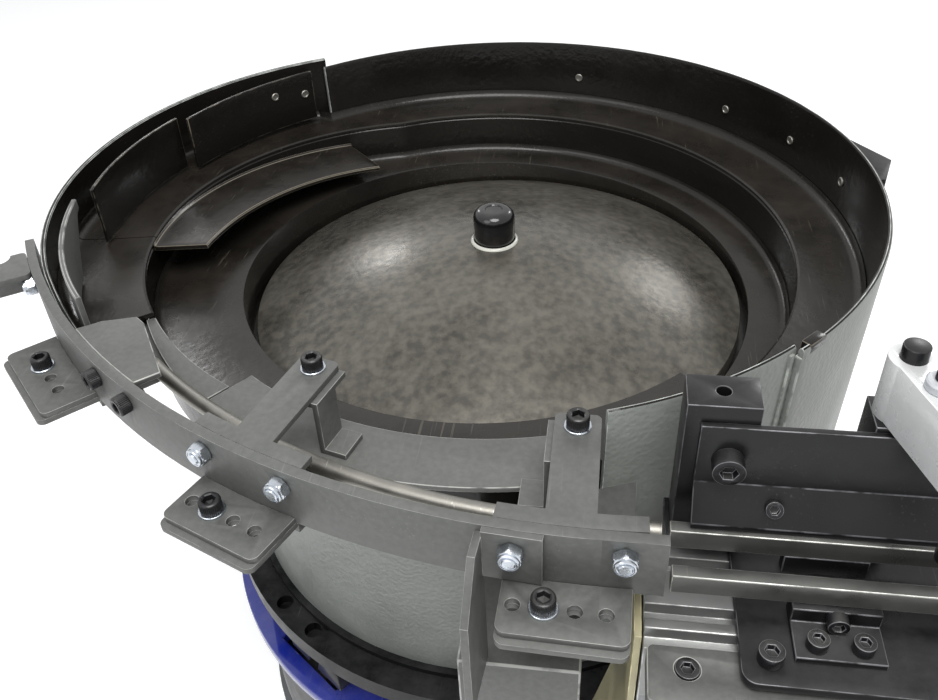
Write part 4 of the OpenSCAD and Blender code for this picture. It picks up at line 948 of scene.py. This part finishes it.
wall_screw_r = wall_in(wall_screw_drop) - gap
end_places = [on_wall(0, 0, wall_screw_r, a, rim_z - wall_screw_drop) for a in wall_screw_as]
end_places += [on_wall(liner_x, liner_y, liner_r, a, z) for a, z in liner_screws]
set_out("wall_screw_ends", screw_end, rod_steel, end_places, "bowl", "wall_screws", slot="rod_steel")

# Top ring and upper clamps
# The turned black ring that the bowl is bolted to, with its spokes, the clamps of the leaf
# springs under it and the armature that the magnet pulls.
black_ring = finish("black anodised ring", (0.009, 0.009, 0.01), 0.34, level=0.15, shade=0.8, scale=22,
                    worn=(0.12, 0.12, 0.12), wear=0.4, scuffed=0.4, dusty=0.3, dust_colour=(0.14, 0.14, 0.14))
dress("top_ring", 0.8, black_ring, "bowl", "black_oxide")
dress("upper_clamps", 0.7, black_ring, "bowl", "black_oxide")
dress("armature", 0.6, satin_steel, "bowl", "steel")

# Drive base
# Cast base ring in a sheet housing with a glossy blue cover, on rubber feet and a thick
# painted plate. Laminated leaf springs and an electromagnet shake the ring above it.
blue_paint = finish("blue paint", (0.012, 0.026, 0.3), 0.2, coat=0.4, shade=0.85, scale=14,
                    worn=(0.2, 0.22, 0.4), wear=0.35, scuffed=0.25, dusty=0.12, vary=0.05, grain=0.15)
plate_paint = finish("grey machine paint", (0.085, 0.09, 0.095), 0.45, shade=0.85, scale=12,
                     worn=(0.3, 0.3, 0.3), wear=0.5, scuffed=0.4, dusty=0.25)
cast_metal = finish("machined casting", (0.24, 0.245, 0.25), 0.42, metal=0.85, shade=0.8, scale=26,
                    scuffed=0.5, dusty=0.12)
soft_rubber = finish("rubber", (0.013, 0.013, 0.013), 0.7, shade=0.8, scale=40, scuffed=0.1, dusty=0.3,
                     grain=0.5)
laminate = finish("spring laminate", (0.45, 0.41, 0.25), 0.4, shade=0.85, scale=70, scuffed=0.3, dusty=0.1)
winding = finish("potted winding", (0.16, 0.03, 0.015), 0.35, shade=0.8, scale=60, scuffed=0.2, dusty=0.2)
cable_nylon = finish("gland nylon", (0.02, 0.02, 0.021), 0.45, shade=0.8, scale=60, scuffed=0.2, dusty=0.2)
for node, width, material, slot in (
        ("mount_plate", 1.2, plate_paint, "plate_grey"), ("rubber_feet", 1.5, soft_rubber, "rubber"),
        ("drive_casting", 1.0, cast_metal, "cast_grey"), ("drive_housing", 0.8, black_paint, "black_oxide"),
        ("drive_cover", 1.4, blue_paint, "blue"), ("leaf_springs", 0.4, laminate, "leaf"),
        ("lower_clamps", 0.8, blasted, "tooling"), ("magnet_core", 0.5, satin_steel, "steel"),
        ("magnet_coil", 1.5, winding, "coil"), ("cable_gland", 0.4, cable_nylon, "nylon")):
    dress(node, width, material, "base", slot)

# Linear track
# A slotted aluminium profile carries a black deck, two rails and a back angle. It shakes on
# leaf springs over its own small magnet drive, which stands on the plate's wing.
black_anodised = finish("black anodised", (0.0095, 0.0095, 0.0105), 0.32, metal=0.35, shade=0.75, scale=20,
                        worn=(0.13, 0.13, 0.14), wear=0.55, scuffed=0.2, dusty=0.22,
                        dust_colour=(0.12, 0.12, 0.12))
natural = finish("natural anodised", (0.27, 0.275, 0.27), 0.4, metal=0.7, shade=0.88, scale=30, scuffed=0.2,
                 dusty=0.06)
rail_steel = finish("ground rail", (0.15, 0.15, 0.143), 0.36, metal=0.7, shade=0.82, scale=34,
                    worn=(0.4, 0.4, 0.38), wear=0.6, scuffed=0.25, dusty=0.05)
for node, width, material, body, slot in (
        ("rails", 0.5, rail_steel, "track", "rod_steel"),
        ("track_profile", 0.5, natural, "track", "aluminium"),
        ("track_plate", 0.5, black_anodised, "track", "black_anodised"),
        ("side_plate", 0.7, blasted, "track", "tooling"),
        ("rail_blocks", 0.5, black_anodised, "track", "black_oxide"),
        ("back_angle", 0.4, black_anodised, "track", "black_anodised"),
        ("track_posts", 0.6, black_anodised, "track", "black_oxide"),
        ("track_head", 0.8, cast_metal, "track", "cast_grey"),
        ("track_base", 0.8, cast_metal, "base", "cast_grey"),
        ("track_springs", 0.3, laminate, "base", "steel"), ("track_magnet", 1.5, winding, "base", "coil"),
        ("track_stand", 1.0, plate_paint, "base", "plate_grey"),
        ("track_screws", 0.3, oxide, "track", "black_oxide")):
    dress(node, width, material, body, slot)

# Sensor
# A silver bracket arm that swivels on the post over the track, with a barrel sensor
# at its end. A white plastic bush under a small socket screw sits on the arm.
white_metal = finish("silver bracket", (0.72, 0.73, 0.73), 0.3, metal=0.25, shade=0.94, scale=30, scuffed=0.2,
                     dusty=0.05)
nylon = finish("nylon ring", (0.5, 0.52, 0.55), 0.4, shade=0.85, scale=120, dusty=0.2)
dress("sensor_arm", 0.7, white_metal, "sensor", "aluminium")
dress("sensor_head", 0.5, black_anodised, "sensor", "black_anodised")
bush_x, bush_y, arm_top, bush_r, bush_h = 188.6, -231.4, 486.2, 6.2, 3.9
bush_rows = [(on_axis, 0.02), (bush_r - 0.4, 0.02), (bush_r, 0.5), (bush_r, bush_h - 0.7),
             (bush_r - 0.6, bush_h), (on_axis, bush_h)]
bush = lathe(bush_rows, turns=48)
bmesh.ops.translate(bush, verts=bush.verts, vec=(bush_x * mm, bush_y * mm, arm_top * mm))
fit_out("sensor_bush", to_mesh("sensor_bush", bush, nylon), "sensor")
small_screw = shape("small_screw", oxide, socket_screw(4, shank=3))
set_out("sensor_screw", small_screw, oxide, [((bush_x, bush_y, arm_top + bush_h + 0.05), UP)], "sensor")
